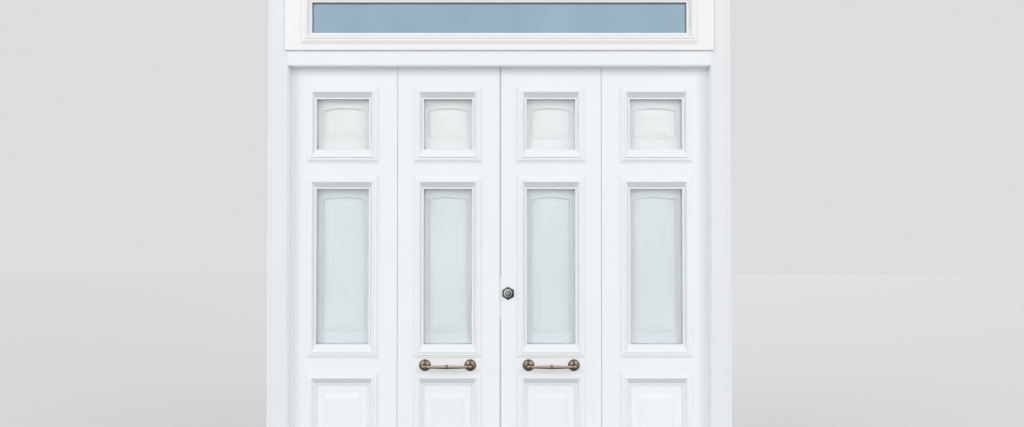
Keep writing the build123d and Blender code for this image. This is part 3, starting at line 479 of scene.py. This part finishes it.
def lock_face(name, metal, centre, rings, keyway=None):
    """Satin steel in rings about the lock's axis, with painted light that brightens its upper left and
    darkens its lower right.

    rings lists each ring's outer radius and brightness, and keyway is half the width and half the height
    of a slot painted near black, a painted shade standing in for the keyway's cut."""
    material, tree, place = new_material(name)
    moved = add(tree, "ShaderNodeVectorMath", {0: place, 1: tuple(centre)}, operation="SUBTRACT")
    flat = add(tree, "ShaderNodeVectorMath", {0: moved.outputs[0], 1: (1, 0, 1)}, operation="MULTIPLY")
    from_axis = length_of(tree, flat)
    patches = noise(tree, place, 160.0, 4.0)
    colour = colour_of(metal.dark_steel)
    for radius, brightness in rings:
        inside = ranged(tree, from_axis, radius - 0.0001, radius + 0.0001, 1.0, 0.0)
        colour = mix_colour(tree, inside, colour, (brightness, 1.02 * brightness, 1.03 * brightness, 1))
    split = add(tree, "ShaderNodeSeparateXYZ", {0: place}).outputs
    across = minus(tree, split[0], centre.x)
    up = minus(tree, split[2], centre.z)
    # Painted shade: the keyway is a slot painted near black
    if keyway:
        in_width = math_node(tree, "LESS_THAN", size_of(tree, across), keyway[0])
        in_height = math_node(tree, "LESS_THAN", size_of(tree, up), keyway[1])
        colour = mix_colour(tree, times(tree, in_width, in_height), colour, (0.02, 0.02, 0.02, 1))
    # Painted light: the steel brightens towards the upper left and darkens towards the lower right; worn
    # holds this slant times a patchy tone
    painted_light_slant = ranged(tree, minus(tree, up, across), -0.022, 0.022, 0.40, 1.5)
    worn = times(tree, ranged(tree, patches, 0.35, 0.75, 0.85, 1.1), painted_light_slant)
    grey = add(tree, "ShaderNodeCombineXYZ", {0: worn, 1: worn, 2: worn})
    colour = mix_colour(tree, 1.0, colour, grey.outputs[0], "MULTIPLY")
    rounded = soft_edges(tree, 0.0006)
    bump = bumped(tree, patches, 0.06, 0.0002, rounded)
    return finish(material, colour, ranged(tree, patches, 0.3, 0.7, 0.29, 0.44), bump, {"Metallic": 0.85})


def rubber(name, colour):
    """Matt rubber with a little dust."""
    material, tree, place = new_material(name)
    dust = noise(tree, place, 45.0, 4.0, stretch=(1, 1, 0.4))
    dusty = ranged(tree, dust, 0.4, 0.8, 0.0, 0.7)
    mixed = mix_colour(tree, dusty, colour_of(colour), colour_of(colour, 0.9))
    bump = bumped(tree, dust, 0.1, 0.0003)
    return finish(material, mixed, 0.72, bump)


def pane_glass(name, colour, ior, uneven, wave):
    """Drawn glass with a tint that varies a little and slow waves in its surface."""
    material, tree, place = new_material(name)
    clouds = noise(tree, place, 3.1, 2.0, stretch=(1, 1, 0.6))
    thick = ranged(tree, clouds, 0.35, 0.65)
    tint = mix_colour(tree, thick, colour_of(colour), colour_of(colour, 1 - uneven))
    waves = noise(tree, place, 5.0, 1.0, stretch=(1, 1, 0.5))
    bump = bumped(tree, waves, wave, 0.01)
    film = noise(tree, place, 14.0, 5.0)
    roughness = ranged(tree, film, 0.4, 0.75, 0.0, 0.03)
    return finish(material, tint, roughness, bump, {"IOR": ior, "Transmission Weight": 1.0})


# Pieces turned on a lathe

def curved(start, end, swell, steps):
    """Points from start to end, each (along, radius), bowed sideways by swell of the chord."""
    run, rise = end[0] - start[0], end[1] - start[1]
    points = []
    for step in range(steps + 1):
        share = step / steps
        bow = swell * math.sin(math.pi * share)
        points.append((start[0] + run * share - rise * bow, start[1] + rise * share + run * bow))
    return points


def bead(low, high, foot, crown, steps):
    """A half-round moulding between two places along a turned piece."""
    middle, reach = (low + high) / 2, (high - low) / 2
    angles = [math.pi * step / steps for step in range(steps + 1)]
    return [(middle - reach * math.cos(angle), foot + (crown - foot) * math.sin(angle)) for angle in angles]


def turn(bm, profile, origin, axis, segments):
    """Turns a profile of (along, radius) points about an axis through origin and adds it to bm."""
    to_axis = Vector((0, 0, 1)).rotation_difference(Vector(axis)).to_matrix()
    rows = []
    for along, radius in profile:
        row = []
        for index in range(segments):
            angle = math.tau * index / segments
            local = Vector((radius * math.cos(angle), radius * math.sin(angle), along))
            row.append(bm.verts.new(Vector(origin) + to_axis @ local))
        rows.append(row)
    for below, above in zip(rows, rows[1:]):
        for index in range(segments):
            after = (index + 1) % segments
            bm.faces.new((below[index], below[after], above[after], above[index]))
    bm.faces.new(reversed(rows[0]))
    bm.faces.new(rows[-1])


def mesh_piece(name, bm, material):
    """Makes an object from bm, smooth but for its sharp edges."""
    mesh = bpy.data.meshes.new(name)
    bmesh.ops.recalc_face_normals(bm, faces=bm.faces)
    bm.to_mesh(mesh)
    bm.free()
    mesh.shade_smooth()
    mesh.set_sharp_from_angle(angle=SHARP_EDGE)
    mesh.materials.append(material)
    return new_object(name, mesh)


def pull_handle(name, node, handles, material):
    """A horizontal pull: two stepped rosettes, two posts and a swelling bar with a ring."""
    low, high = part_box(node)
    rosette = (high.z - low.z) / 2
    height, face = (low.z + high.z) / 2, high.y
    bar_y = low.y + handles.ring_radius
    middle = (low.x + high.x) / 2
    half = (high.x - low.x) / 2 - rosette
    stand = face - bar_y
    boss_radius, knuckle, knuckle_half = 0.0115, 0.0070, 0.0078
    ring_half = 0.0045

    left = [(-half - knuckle_half - 0.0002, 0.0015)]
    left += bead(-half - knuckle_half, -half + knuckle_half - 0.001, 0.0032, knuckle, 14)
    left += [(-half + knuckle_half - 0.0004, handles.end_radius - 0.0008)]
    left += curved((-half + knuckle_half, handles.end_radius), (-0.0062, handles.bar_radius), 0.006, 14)
    left += [(-0.0060, handles.bar_radius - 0.0007)]
    ring = bead(-ring_half, ring_half, handles.bar_radius - 0.0004, handles.ring_radius, 12)
    bar = left + ring + [(-along, radius) for along, radius in reversed(left)]

    post = [
        (0.0, rosette),
        (0.0016, rosette),
        (0.0026, rosette - 0.0005),
        (0.0034, rosette - 0.0016),
        (0.0036, rosette - 0.0034),
        (0.0029, rosette - 0.0044),
        (0.0031, rosette - 0.0054),
    ]
    post += curved((0.0036, rosette - 0.0062), (0.0050, boss_radius + 0.0018), -0.05, 6)
    post += [(0.0046, boss_radius + 0.0010), (0.0050, boss_radius)]
    post += curved((0.0062, boss_radius - 0.0003), (0.0140, 0.0062), -0.16, 10)
    post += curved((0.0150, 0.0060), (stand, 0.0066), -0.012, 6)

    bm = bmesh.new()
    turn(bm, bar, (middle, bar_y, height), (1, 0, 0), handles.segments)
    for side in (-1, 1):
        turn(bm, post, (middle + side * half, face, height), (0, -1, 0), handles.segments)
    return mesh_piece(name, bm, material)


# What repeats: screw heads and hinge caps

def repeat_tree(name, inputs):
    """A Geometry Nodes tree with named inputs, and its input and output nodes."""
    tree = bpy.data.node_groups.new(name, "GeometryNodeTree")
    tree.interface.new_socket("Geometry", in_out="INPUT", socket_type="NodeSocketGeometry")
    for label, kind, default in inputs:
        socket = tree.interface.new_socket(label, in_out="INPUT", socket_type=kind)
        if default is not None:
            socket.default_value = default
    tree.interface.new_socket("Geometry", in_out="OUTPUT", socket_type="NodeSocketGeometry")
    return tree, add(tree, "NodeGroupInput").outputs, add(tree, "NodeGroupOutput")


def scatter(tree, given, out, shape, spun):
    """Puts shape on every point, looking the way the point faces, and ends the tree."""
    facing = add(tree, "GeometryNodeInputNamedAttribute", {"Name": "facing"}, data_type="FLOAT_VECTOR")
    turned = add(tree, "FunctionNodeAlignRotationToVector", {"Vector": facing.outputs[0]}, axis="Z")
    rotation = turned.outputs[0]
    if spun:
        chance = add(tree, "FunctionNodeRandomValue", {
            2: 0.0, 3: math.tau, "Seed": given["Seed"]}, data_type="FLOAT")
        spin = add(tree, "FunctionNodeAxisAngleToRotation", {"Axis": (0, 0, 1), "Angle": chance.outputs[1]})
        both = add(tree, "FunctionNodeRotateRotation", {
            0: rotation, 1: spin.outputs[0]}, rotation_space="LOCAL")
        rotation = both.outputs[0]
    placed = add(tree, "GeometryNodeInstanceOnPoints", {
        "Points": given["Geometry"], "Instance": shape, "Rotation": rotation})
    real = add(tree, "GeometryNodeRealizeInstances", {0: placed.outputs[0]})
    finished = add(tree, "GeometryNodeSetMaterial", {
        "Geometry": real.outputs[0], "Material": given["Material"]})
    tree.links.new(finished.outputs[0], out.inputs[0])


def raised(tree, shape, height):
    """The shape, moved up by the given height."""
    lift = add(tree, "ShaderNodeCombineXYZ", {2: height})
    return add(tree, "GeometryNodeTransform", {"Geometry": shape.outputs[0], "Translation": lift.outputs[0]})


def screw_tree():
    """Slotted screw heads: a low cone with a cut across it."""
    tree, given, out = repeat_tree("Screw Heads", (
        ("Radius", "NodeSocketFloat", 0.003),
        ("Height", "NodeSocketFloat", 0.0006),
        ("Seed", "NodeSocketInt", 7),
        ("Material", "NodeSocketMaterial", None),
    ))
    radius, height = given["Radius"], given["Height"]
    top, depth = times(tree, radius, 0.78), times(tree, height, 2.0)
    head = add(tree, "GeometryNodeMeshCone", {
        "Vertices": 16, "Radius Top": top, "Radius Bottom": radius, "Depth": depth})
    head = raised(tree, head, times(tree, height, -1.0))
    length, width = times(tree, radius, 3.0), times(tree, radius, 0.26)
    size = add(tree, "ShaderNodeCombineXYZ", {0: length, 1: width, 2: height})
    cut = raised(tree, add(tree, "GeometryNodeMeshCube", {"Size": size.outputs[0]}), height)
    slotted = add(tree, "GeometryNodeMeshBoolean", {
        0: head.outputs[0], 1: cut.outputs[0]}, operation="DIFFERENCE")
    scatter(tree, given, out, slotted.outputs[0], True)
    return tree


def cap_tree():
    """Turned caps for the ends of the hinge knuckles: a low dome with a small ball on it."""
    tree, given, out = repeat_tree("Hinge Caps", (
        ("Radius", "NodeSocketFloat", 0.007),
        ("Material", "NodeSocketMaterial", None),
    ))
    radius = given["Radius"]
    dome = add(tree, "GeometryNodeMeshUVSphere", {"Segments": 20, "Rings": 10, "Radius": radius})
    dome = add(tree, "GeometryNodeTransform", {"Geometry": dome.outputs[0], "Scale": (1, 1, 0.42)})
    small, rise = times(tree, radius, 0.42), times(tree, radius, 0.66)
    ball = add(tree, "GeometryNodeMeshUVSphere", {"Segments": 14, "Rings": 8, "Radius": small})
    ball = raised(tree, ball, rise)
    joined = add(tree, "GeometryNodeJoinGeometry")
    tree.links.new(dome.outputs[0], joined.inputs[0])
    tree.links.new(ball.outputs[0], joined.inputs[0])
    smooth = add(tree, "GeometryNodeSetShadeSmooth", {"Geometry": joined.outputs[0]})
    scatter(tree, given, out, smooth.outputs[0], False)
    return tree


def repeated(name, tree, places, values):
    """Runs a tree on points, each (place, facing), and leaves a plain mesh."""
    points = bpy.data.meshes.new(name + "_points")
    points.from_pydata([tuple(place) for place, _ in places], [], [])
    facing = points.attributes.new("facing", "FLOAT_VECTOR", "POINT")
    facing.data.foreach_set("vector", [value for _, way in places for value in way])
    carrier = new_object(name, points)
    modifier = carrier.modifiers.new("Repeat", "NODES")
    modifier.node_group = tree
    for item in tree.interface.items_tree:
        if item.in_out == "INPUT" and item.name in values:
            modifier[item.identifier] = values[item.name]
    evaluated = carrier.evaluated_get(bpy.context.evaluated_depsgraph_get())
    mesh = bpy.data.meshes.new_from_object(evaluated)
    carrier.modifiers.remove(modifier)
    carrier.data = mesh
    mesh.name = name
    bpy.data.meshes.remove(points)
    return carrier


# Operators, one for each piece or group of like pieces

class DOORS_OT_woodwork(Operator):
    """Paints the frame, the leaves, the mouldings, the panels and the shutters"""
    bl_idname = "doors.woodwork"
    bl_label = "Painted Woodwork"

    def execute(self, context):
        paint = context.scene.doors_paint
        # The frame's paints brighten its reveals and soffits with painted light
        upright = white_paint("white_paint_upright", paint, brighten_reveals=True)
        level = white_paint("white_paint_level", paint, level=True, clean=paint.leaf_colour, brighten_reveals=True)
        sash = white_paint("white_paint_sash", paint, level=True, clean=paint.sash_colour)
        # The mouldings and panels darken where they look down, a painted shade
        panels = white_paint("white_paint_panels", paint, clean=paint.leaf_colour, shade_undersides=True)
        shutter = white_paint("white_paint_shutter", paint, clean=paint.shutter_paint_and_reveal_light)
        dress(upright, "frame_jamb_left", "frame_jamb_right")
        dress(level, "frame_head", "transom_bar", "threshold")
        dress(sash, "transom_sash", "transom_moulding")
        for leaf in LEAVES:
            low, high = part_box(f"leaf_{leaf}_tall_pane")
            rails = ((low.x + high.x) / 2, (high.x - low.x) / 2 - PANE_LAP)
            stiles = white_paint(f"white_paint_leaf_{leaf}", paint, rails=rails, clean=paint.leaf_colour)
            dress(stiles, f"leaf_{leaf}_frame")
            dress(panels, f"leaf_{leaf}_mouldings", f"leaf_{leaf}_bottom_panel")
            dress(shutter, f"shutter_{leaf}")
        return {"FINISHED"}


class DOORS_OT_glass(Operator):
    """Glazes the doors and the transom light"""
    bl_idname = "doors.glass"
    bl_label = "Glass"

    def execute(self, context):
        glass = context.scene.doors_glass
        # The small panes are left untinted, a painted reflection: they look brighter, as if they showed more
        # of the bright sky than the tall ones
        small = pane_glass("glass_small_untinted", (1, 1, 1), 1.25, 0.01, 0.02)
        tall = pane_glass("glass_clear_tall", glass.leaf_colour, 1.25, 0.02, 0.02)
        # The transom's blue-grey is partly its tint and partly a painted reflection of the sky
        tint_and_sky = pane_glass("glass_tinted", glass.transom_tint_and_sky, 1.5, 0.10, 0.05)
        for leaf in LEAVES:
            dress(small, f"leaf_{leaf}_small_pane")
            dress(tall, f"leaf_{leaf}_tall_pane")
        dress(tint_and_sky, "transom_glass")
        return {"FINISHED"}


class DOORS_OT_fittings(Operator):
    """Finishes the hinges, bolts, keeps, lock and seals"""
    bl_idname = "doors.fittings"
    bl_label = "Hinges, Bolts and Lock"

    def execute(self, context):
        paint, metal = context.scene.doors_paint, context.scene.doors_metal
        enamel = painted_steel(paint)
        steel = satin_steel(metal)
        dress(enamel, "frame_hinges", "transom_hinges", "transom_sash_hinges")
        dress(enamel, *[f"leaf_{leaf}_hinges" for leaf in LEAVES])
        dress(steel, "bolt_keeps", "strike_plate", "lock_case", "deadbolt", "lock_rose", "thumb_turn")
        for leaf in BOLTED_LEAVES:
            dress(steel, f"leaf_{leaf}_bolt_guides", f"bolt_{leaf}_top", f"bolt_{leaf}_bottom")
        low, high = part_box("lock_plug")
        axis = (low + high) / 2
        collar, groove, barrel, plug = 17.6 * MM, 13.2 * MM, 10.4 * MM, 9 * MM
        keyway = (1.8 * MM, 4.7 * MM)
        dress(lock_face("lock_plate", metal, axis, [(collar, 0.62)]), "lock_escutcheon")
        # The ring from the barrel out to the groove's radius is painted near black, a painted shade in the
        # groove
        dress(lock_face("lock_barrel", metal, axis, [(groove, 0.035), (barrel, 0.26)]), "lock_cylinder")
        dress(lock_face("lock_plug_face", metal, axis, [(plug, 0.42)], keyway), "lock_plug")
        dress(rubber("rubber", metal.rubber), "frame_seals")
        return {"FINISHED"}


class DOORS_OT_joint_seals(Operator):
    """Adds the lip seals in the lines where the doors meet"""
    bl_idname = "doors.joint_seals"
    bl_label = "Joint Seals"

    def execute(self, context):
        low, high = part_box("leaf_3_frame")
        case_low, case_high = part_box("lock_case")
        grey = rubber("joint_rubber", LIP_GREY)
        pale = rubber("joint_rubber_pale", LIP_PALE)
        whole = ((low.z + MM, high.z - MM),)
        parted = ((low.z + MM, case_low.z - MM), (case_high.z + MM, high.z - MM))
        meeting_gap = low.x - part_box("leaf_2_frame")[1].x
        fold_gap = 2 * FOLD_HALF_GAP
        fold_edge = -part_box("leaf_1_frame")[1].x - fold_gap
        meeting_depth, fold_depth = low.y + 4.5 * MM, low.y + 3.2 * MM
        self.seal("meeting_seal", "leaf_3", low.x, -1, meeting_gap, meeting_depth, parted, grey)
        self.seal("fold_seal_left", "leaf_2", -fold_edge, -1, fold_gap, fold_depth, whole, pale)
        self.seal("fold_seal_right", "leaf_3", fold_edge, 1, fold_gap, fold_depth, whole, pale)
        return {"FINISHED"}

    def seal(self, name, body, edge, way, gap, depth, heights, material):
        """A lip that stands on a door's edge and reaches almost across the gap beside it."""
        root, tip, waist, reach = gap / 4, 0.2 * MM, gap * 0.42, gap * 0.82
        half = [(0.0, -root), (waist, -root * 0.6), (reach, -tip)]
        lip = half + [(out, -across) for out, across in reversed(half)]
        bm = bmesh.new()
        for bottom, top in heights:
            rows = [
                [bm.verts.new((edge + way * out, depth + across, z)) for out, across in lip]
                for z in (bottom, top)]
            for index in range(len(lip)):
                after = (index + 1) % len(lip)
                bm.faces.new((rows[0][index], rows[0][after], rows[1][after], rows[1][index]))
            bm.faces.new(rows[0])
            bm.faces.new(reversed(rows[1]))
        piece = mesh_piece(name, bm, material)
        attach(piece, body)


class DOORS_OT_pull_handles(Operator):
    """Turns the two brass pull handles"""
    bl_idname = "doors.pull_handles"
    bl_label = "Pull Handles"

    def execute(self, context):
        scene = context.scene
        low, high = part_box("pull_handle_right")
        rosette, middle = (high.z - low.z) / 2, (low + high) / 2
        brass = aged_brass(
            scene.doors_metal, high.y, middle.z, middle.x, (high.x - low.x) / 2 - rosette, rosette)
        for name, node, body in (
                ("pull_left", "pull_handle_left", "leaf_2"), ("pull_right", "pull_handle_right", "leaf_3")):
            piece = pull_handle(name, node, scene.doors_handles, brass)
            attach(piece, body)
            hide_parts(node)
        return {"FINISHED"}


def lift_off_flaps():
    """Each lift-off flap: body, hinge axis, way to the flap, half the gap, and whether it is above."""
    flaps = []
    for side, outer, inner in ((-1, "leaf_1", "leaf_2"), (1, "leaf_4", "leaf_3")):
        flaps += [
            ("frame", side * JAMB_AXIS, side, JAMB_HALF_GAP, False),
            (outer, side * JAMB_AXIS, -side, JAMB_HALF_GAP, True),
            (outer, side * FOLD_AXIS, side, FOLD_HALF_GAP, False),
            (inner, side * FOLD_AXIS, -side, FOLD_HALF_GAP, True),
        ]
    return flaps


def shutter_hinges():
    """Each shutter's hinges: the leaf, the axis, the way from the axis to the shutter, and their heights."""
    hinges = []
    for leaf in LEAVES:
        low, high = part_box(f"shutter_{leaf}")
        way = 1 if leaf in (1, 2) else -1
        axis = low.x + SMALL_KNUCKLE if way > 0 else high.x - SMALL_KNUCKLE
        hinges.append((leaf, axis, way, (low.z + SHUTTER_HINGE_INSET, high.z - SHUTTER_HINGE_INSET)))
    return hinges


class DOORS_OT_screws(Operator):
    """Sets the screws of the handles, hinges, bolts, keeps and lock"""
    bl_idname = "doors.screws"
    bl_label = "Screws"

    def execute(self, context):
        sizes = context.scene.doors_screws
        tree = screw_tree()
        enamel = bpy.data.materials["painted_steel"]
        steel = bpy.data.materials["satin_steel"]
        old = old_screw(context.scene.doors_metal)
        for groups, kind, radius, material, slot in (
                (self.rosettes(), "rosette_screws", sizes.large_radius, old, "aged_brass"),
                (self.large_hinges(), "hinge_screws", sizes.large_radius, enamel, "painted_steel"),
                (self.small_hinges(), "small_hinge_screws", sizes.small_radius, enamel, "painted_steel"),
                (self.bolts(), "bolt_screws", sizes.small_radius, steel, "steel")):
            for body, places in groups.items():
                values = {
                    "Radius": radius, "Height": sizes.head_height, "Seed": sizes.seed, "Material": material}
                piece = repeated(f"{kind}_{body}", tree, places, values)
                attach(piece, body)
        return {"FINISHED"}

    def rosettes(self):
        """Three in each rosette: above, below and on the side of the bar."""
        groups = {}
        for node, body in (("pull_handle_left", "leaf_2"), ("pull_handle_right", "leaf_3")):
            low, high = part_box(node)
            rosette = (high.z - low.z) / 2
            height = (low.z + high.z) / 2
            places = []
            circle, stand = 17.6 * MM, 4.1 * MM
            for x, inward in ((low.x + rosette, 1), (high.x - rosette, -1)):
                for across, up in ((0, 1), (0, -1), (inward, 0)):
                    away = Vector((across, 0, up)) * circle
                    places.append((Vector((x, high.y - stand, height)) + away, (0, -1, 0)))
            groups[body] = places
        return groups

    def large_hinges(self):
        """Four in each flap of the lift-off hinges, in two rows."""
        groups = defaultdict(list)
        rows = (21 * MM, 10 * MM)
        for body, axis, way, half_gap, _ in lift_off_flaps():
            for height in HINGE_HEIGHTS:
                for step, along in enumerate((-38, -13, 13, 38)):
                    depth = ROOM_FACE - rows[step % 2]
                    place = (axis + way * half_gap, depth, height + along * MM)
                    groups[body].append((place, (-way, 0, 0)))
        return groups

    def small_hinges(self):
        """Three in each flap of the shutters' and the transom light's hinges."""
        groups = defaultdict(list)
        row = (-22, 0, 22)
        flap_middle, plate_middle, first_hinge = 17 * MM, 12 * MM, 32 * MM
        for leaf, axis, way, heights in shutter_hinges():
            for body, out in ((f"leaf_{leaf}", -way), (f"shutter_{leaf}", way)):
                for height in heights:
                    for along in row:
                        place = (axis + out * flap_middle, ROOM_FACE + SMALL_FLAP, height + along * MM)
                        groups[body].append((place, (0, 1, 0)))
        for body, node, inset in (("frame", "transom_hinges", -1), ("transom", "transom_sash_hinges", 1)):
            low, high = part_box(node)
            face = low.y if body == "transom" else high.y - SMALL_FLAP
            height = (low.z if inset > 0 else high.z) + inset * plate_middle
            reach = low.x + first_hinge
            for x in (reach, 0.0, -reach):
                for along in row:
                    groups[body].append(((x + along * MM, face, height), (0, -1, 0)))
        return groups

    def bolts(self):
        """Those of the bolts' plates and end guides, of the keeps, and of the lock's plates."""
        groups = {"frame": [], "leaf_3": []}
        face = ROOM_FACE + PLATE
        plate_heights, guide_inset, keep_inset = (1.900, 0.255), 9 * MM, 8 * MM
        for leaf in BOLTED_LEAVES:
            low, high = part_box(f"leaf_{leaf}_bolt_guides")
            middle = (low.x + high.x) / 2
            spots = []
            for height in plate_heights:
                for across in (-12.5, 12.5):
                    spots += [(across, height + along * MM) for along in (-50, 50)]
            for height in (high.z - guide_inset, low.z + guide_inset):
                spots += [(across, height) for across in (-13.5, 13.5)]
            groups[f"leaf_{leaf}"] = [
                ((middle + across * MM, face, height), (0, 1, 0)) for across, height in spots]
            low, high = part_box("bolt_keeps")
            for height in (low.z + keep_inset, high.z - keep_inset):
                for across in (-15.5, 15.5):
                    groups["frame"].append(((middle + across * MM, face, height), (0, 1, 0)))
        for body, node, way in (("leaf_2", "strike_plate", 1), ("leaf_3", "lock_case", -1)):
            low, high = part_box(node)
            middle = (low + high) / 2
            for along in (-80, 80):
                place = (high.x if way > 0 else low.x, middle.y, middle.z + along * MM)
                groups[body].append((place, (way, 0, 0)))
        return groups


class DOORS_OT_hinge_caps(Operator):
    """Puts the turned caps on the ends of the hinge knuckles"""
    bl_idname = "doors.hinge_caps"
    bl_label = "Hinge Caps"

    def execute(self, context):
        tree = cap_tree()
        enamel = bpy.data.materials["painted_steel"]
        large, small = defaultdict(list), defaultdict(list)
        for body, axis, _, _, above in lift_off_flaps():
            turn_up = 1 if above else -1
            for height in HINGE_HEIGHTS:
                place = (axis, HINGE_DEPTH, height + turn_up * LARGE_HINGE_HALF)
                large[body].append((place, (0, 0, turn_up)))
        for leaf, axis, _, heights in shutter_hinges():
            for body, turn_up in ((f"leaf_{leaf}", -1), (f"shutter_{leaf}", 1)):
                for height in heights:
                    place = (axis, SHUTTER_HINGE_DEPTH, height + turn_up * SMALL_HINGE_HALF)
                    small[body].append((place, (0, 0, turn_up)))
        for groups, kind, radius in (
                (large, "hinge_caps", LARGE_KNUCKLE), (small, "small_hinge_caps", SMALL_KNUCKLE)):
            for body, places in groups.items():
                piece = repeated(f"{kind}_{body}", tree, places, {"Radius": radius, "Material": enamel})
                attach(piece, body)
        return {"FINISHED"}


class DOORS_OT_stage(Operator):
    """Sets up the floor, the lamps, the sky and the camera"""
    bl_idname = "doors.stage"
    bl_label = "Studio"

    def execute(self, context):
        scene, stage = context.scene, context.scene.doors_stage
        self.floor(stage, cad_bounds[0][2])
        self.sky(scene, stage)
        soft = stage.lamp_softness
        self.lamp("left_lamp", LEFT_SHARE * stage.front_strength, soft, -FRONT_SIDE, FRONT_RISE)
        self.lamp("right_lamp", RIGHT_SHARE * stage.front_strength, soft, FRONT_SIDE, FRONT_RISE)
        behind = self.lamp("back_lamp", stage.back_strength, soft, BACK_SIDE, BACK_RISE)
        behind.visible_transmission = False
        self.camera(scene, stage)
        scene.view_settings.view_transform = "Standard"
        return {"FINISHED"}

    def floor(self, stage, height):
        mesh = bpy.data.meshes.new("floor")
        corners = [(across * FLOOR_HALF, along * FLOOR_HALF, height)
                   for across, along in ((-1, -1), (1, -1), (1, 1), (-1, 1))]
        mesh.from_pydata(corners, [], [(0, 1, 2, 3)])
        material, tree, place = new_material("pale_floor")
        speckle = noise(tree, place, 30.0, 4.0)
        paint = stage.floor_colour
        tone = mix_colour(tree, ranged(tree, speckle, 0.3, 0.7), colour_of(paint), colour_of(paint, 0.97))
        _, seen = seen_by_rays(tree)
        colour = mix_colour(tree, seen, colour_of([stage.floor_return] * 3), tone)
        mesh.materials.append(finish(material, colour, 0.8))
        floor = new_object("floor", mesh)

    def sky(self, scene, stage):
        world = bpy.data.worlds.new("studio")
        world.use_nodes = True
        tree = world.node_tree
        tree.nodes.clear()
        from_camera, seen = seen_by_rays(tree)
        light = add(tree, "ShaderNodeBackground", {"Color": (1, 1, 1, 1), "Strength": stage.sky_strength})
        colour = mix_colour(tree, from_camera, colour_of(stage.reflected), colour_of(stage.background))
        shown = add(tree, "ShaderNodeBackground", {"Color": colour, "Strength": 1.0})
        both = add(tree, "ShaderNodeMixShader", {0: seen, 1: light.outputs[0], 2: shown.outputs[0]})
        add(tree, "ShaderNodeOutputWorld", {"Surface": both.outputs[0]})
        scene.world = world

    def lamp(self, name, strength, softness, side, rise):
        """A far, soft lamp: side is its angle from straight in front, and rise its angle above the floor."""
        light = bpy.data.lights.new(name, "SUN")
        light.energy = strength
        light.angle = softness
        lamp = new_object(name, light)
        turn, lift = math.radians(side), math.radians(rise)
        place = Vector((math.sin(turn) * math.cos(lift), -math.cos(turn) * math.cos(lift), math.sin(lift)))
        lamp.location = LAMP_DISTANCE * place
        lamp.rotation_euler = place.to_track_quat("Z", "Y").to_euler()
        return lamp

    def camera(self, scene, stage):
        data = bpy.data.cameras.new("camera")
        data.sensor_fit = "HORIZONTAL"
        data.sensor_width = 36.0
        data.lens = stage.camera_lens
        camera = new_object("camera", data)
        camera.location = (stage.camera_x, STREET_FACE - stage.camera_distance, stage.camera_height)
        camera.rotation_euler = (math.pi / 2 + stage.camera_tilt, 0, 0)
        scene.camera = camera


class DOORS_PT_panel(Panel):
    """Lists the steps that make the doors"""
    bl_label = "French Doors"
    bl_idname = "DOORS_PT_panel"
    bl_space_type = "VIEW_3D"
    bl_region_type = "UI"
    bl_category = "Doors"

    def draw(self, context):
        for step in STEPS:
            self.layout.operator(step.bl_idname)
        for name in SETTINGS:
            box = self.layout.box()
            box.label(text=name.removeprefix("doors_").capitalize())
            group = getattr(context.scene, name)
            for field in type(group).__annotations__:
                box.prop(group, field)


STEPS = (
    DOORS_OT_woodwork,
    DOORS_OT_glass,
    DOORS_OT_fittings,
    DOORS_OT_joint_seals,
    DOORS_OT_pull_handles,
    DOORS_OT_screws,
    DOORS_OT_hinge_caps,
    DOORS_OT_stage,
)
SETTINGS = {
    "doors_paint": DoorsPaint,
    "doors_glass": DoorsGlass,
    "doors_metal": DoorsMetal,
    "doors_handles": DoorsHandles,
    "doors_screws": DoorsScrews,
    "doors_stage": DoorsStage,
}
CLASSES = (*SETTINGS.values(), *STEPS, DOORS_PT_panel)


def register():
    for kind in CLASSES:
        bpy.utils.register_class(kind)
    for name, kind in SETTINGS.items():
        setattr(bpy.types.Scene, name, PointerProperty(type=kind))


def unregister():
    for name in SETTINGS:
        delattr(bpy.types.Scene, name)
    for kind in reversed(CLASSES):
        bpy.utils.unregister_class(kind)


def main():
    register()
    for step in STEPS:
        family, action = step.bl_idname.split(".")
        getattr(getattr(bpy.ops, family), action)()


if __name__ == "__main__":
    main()
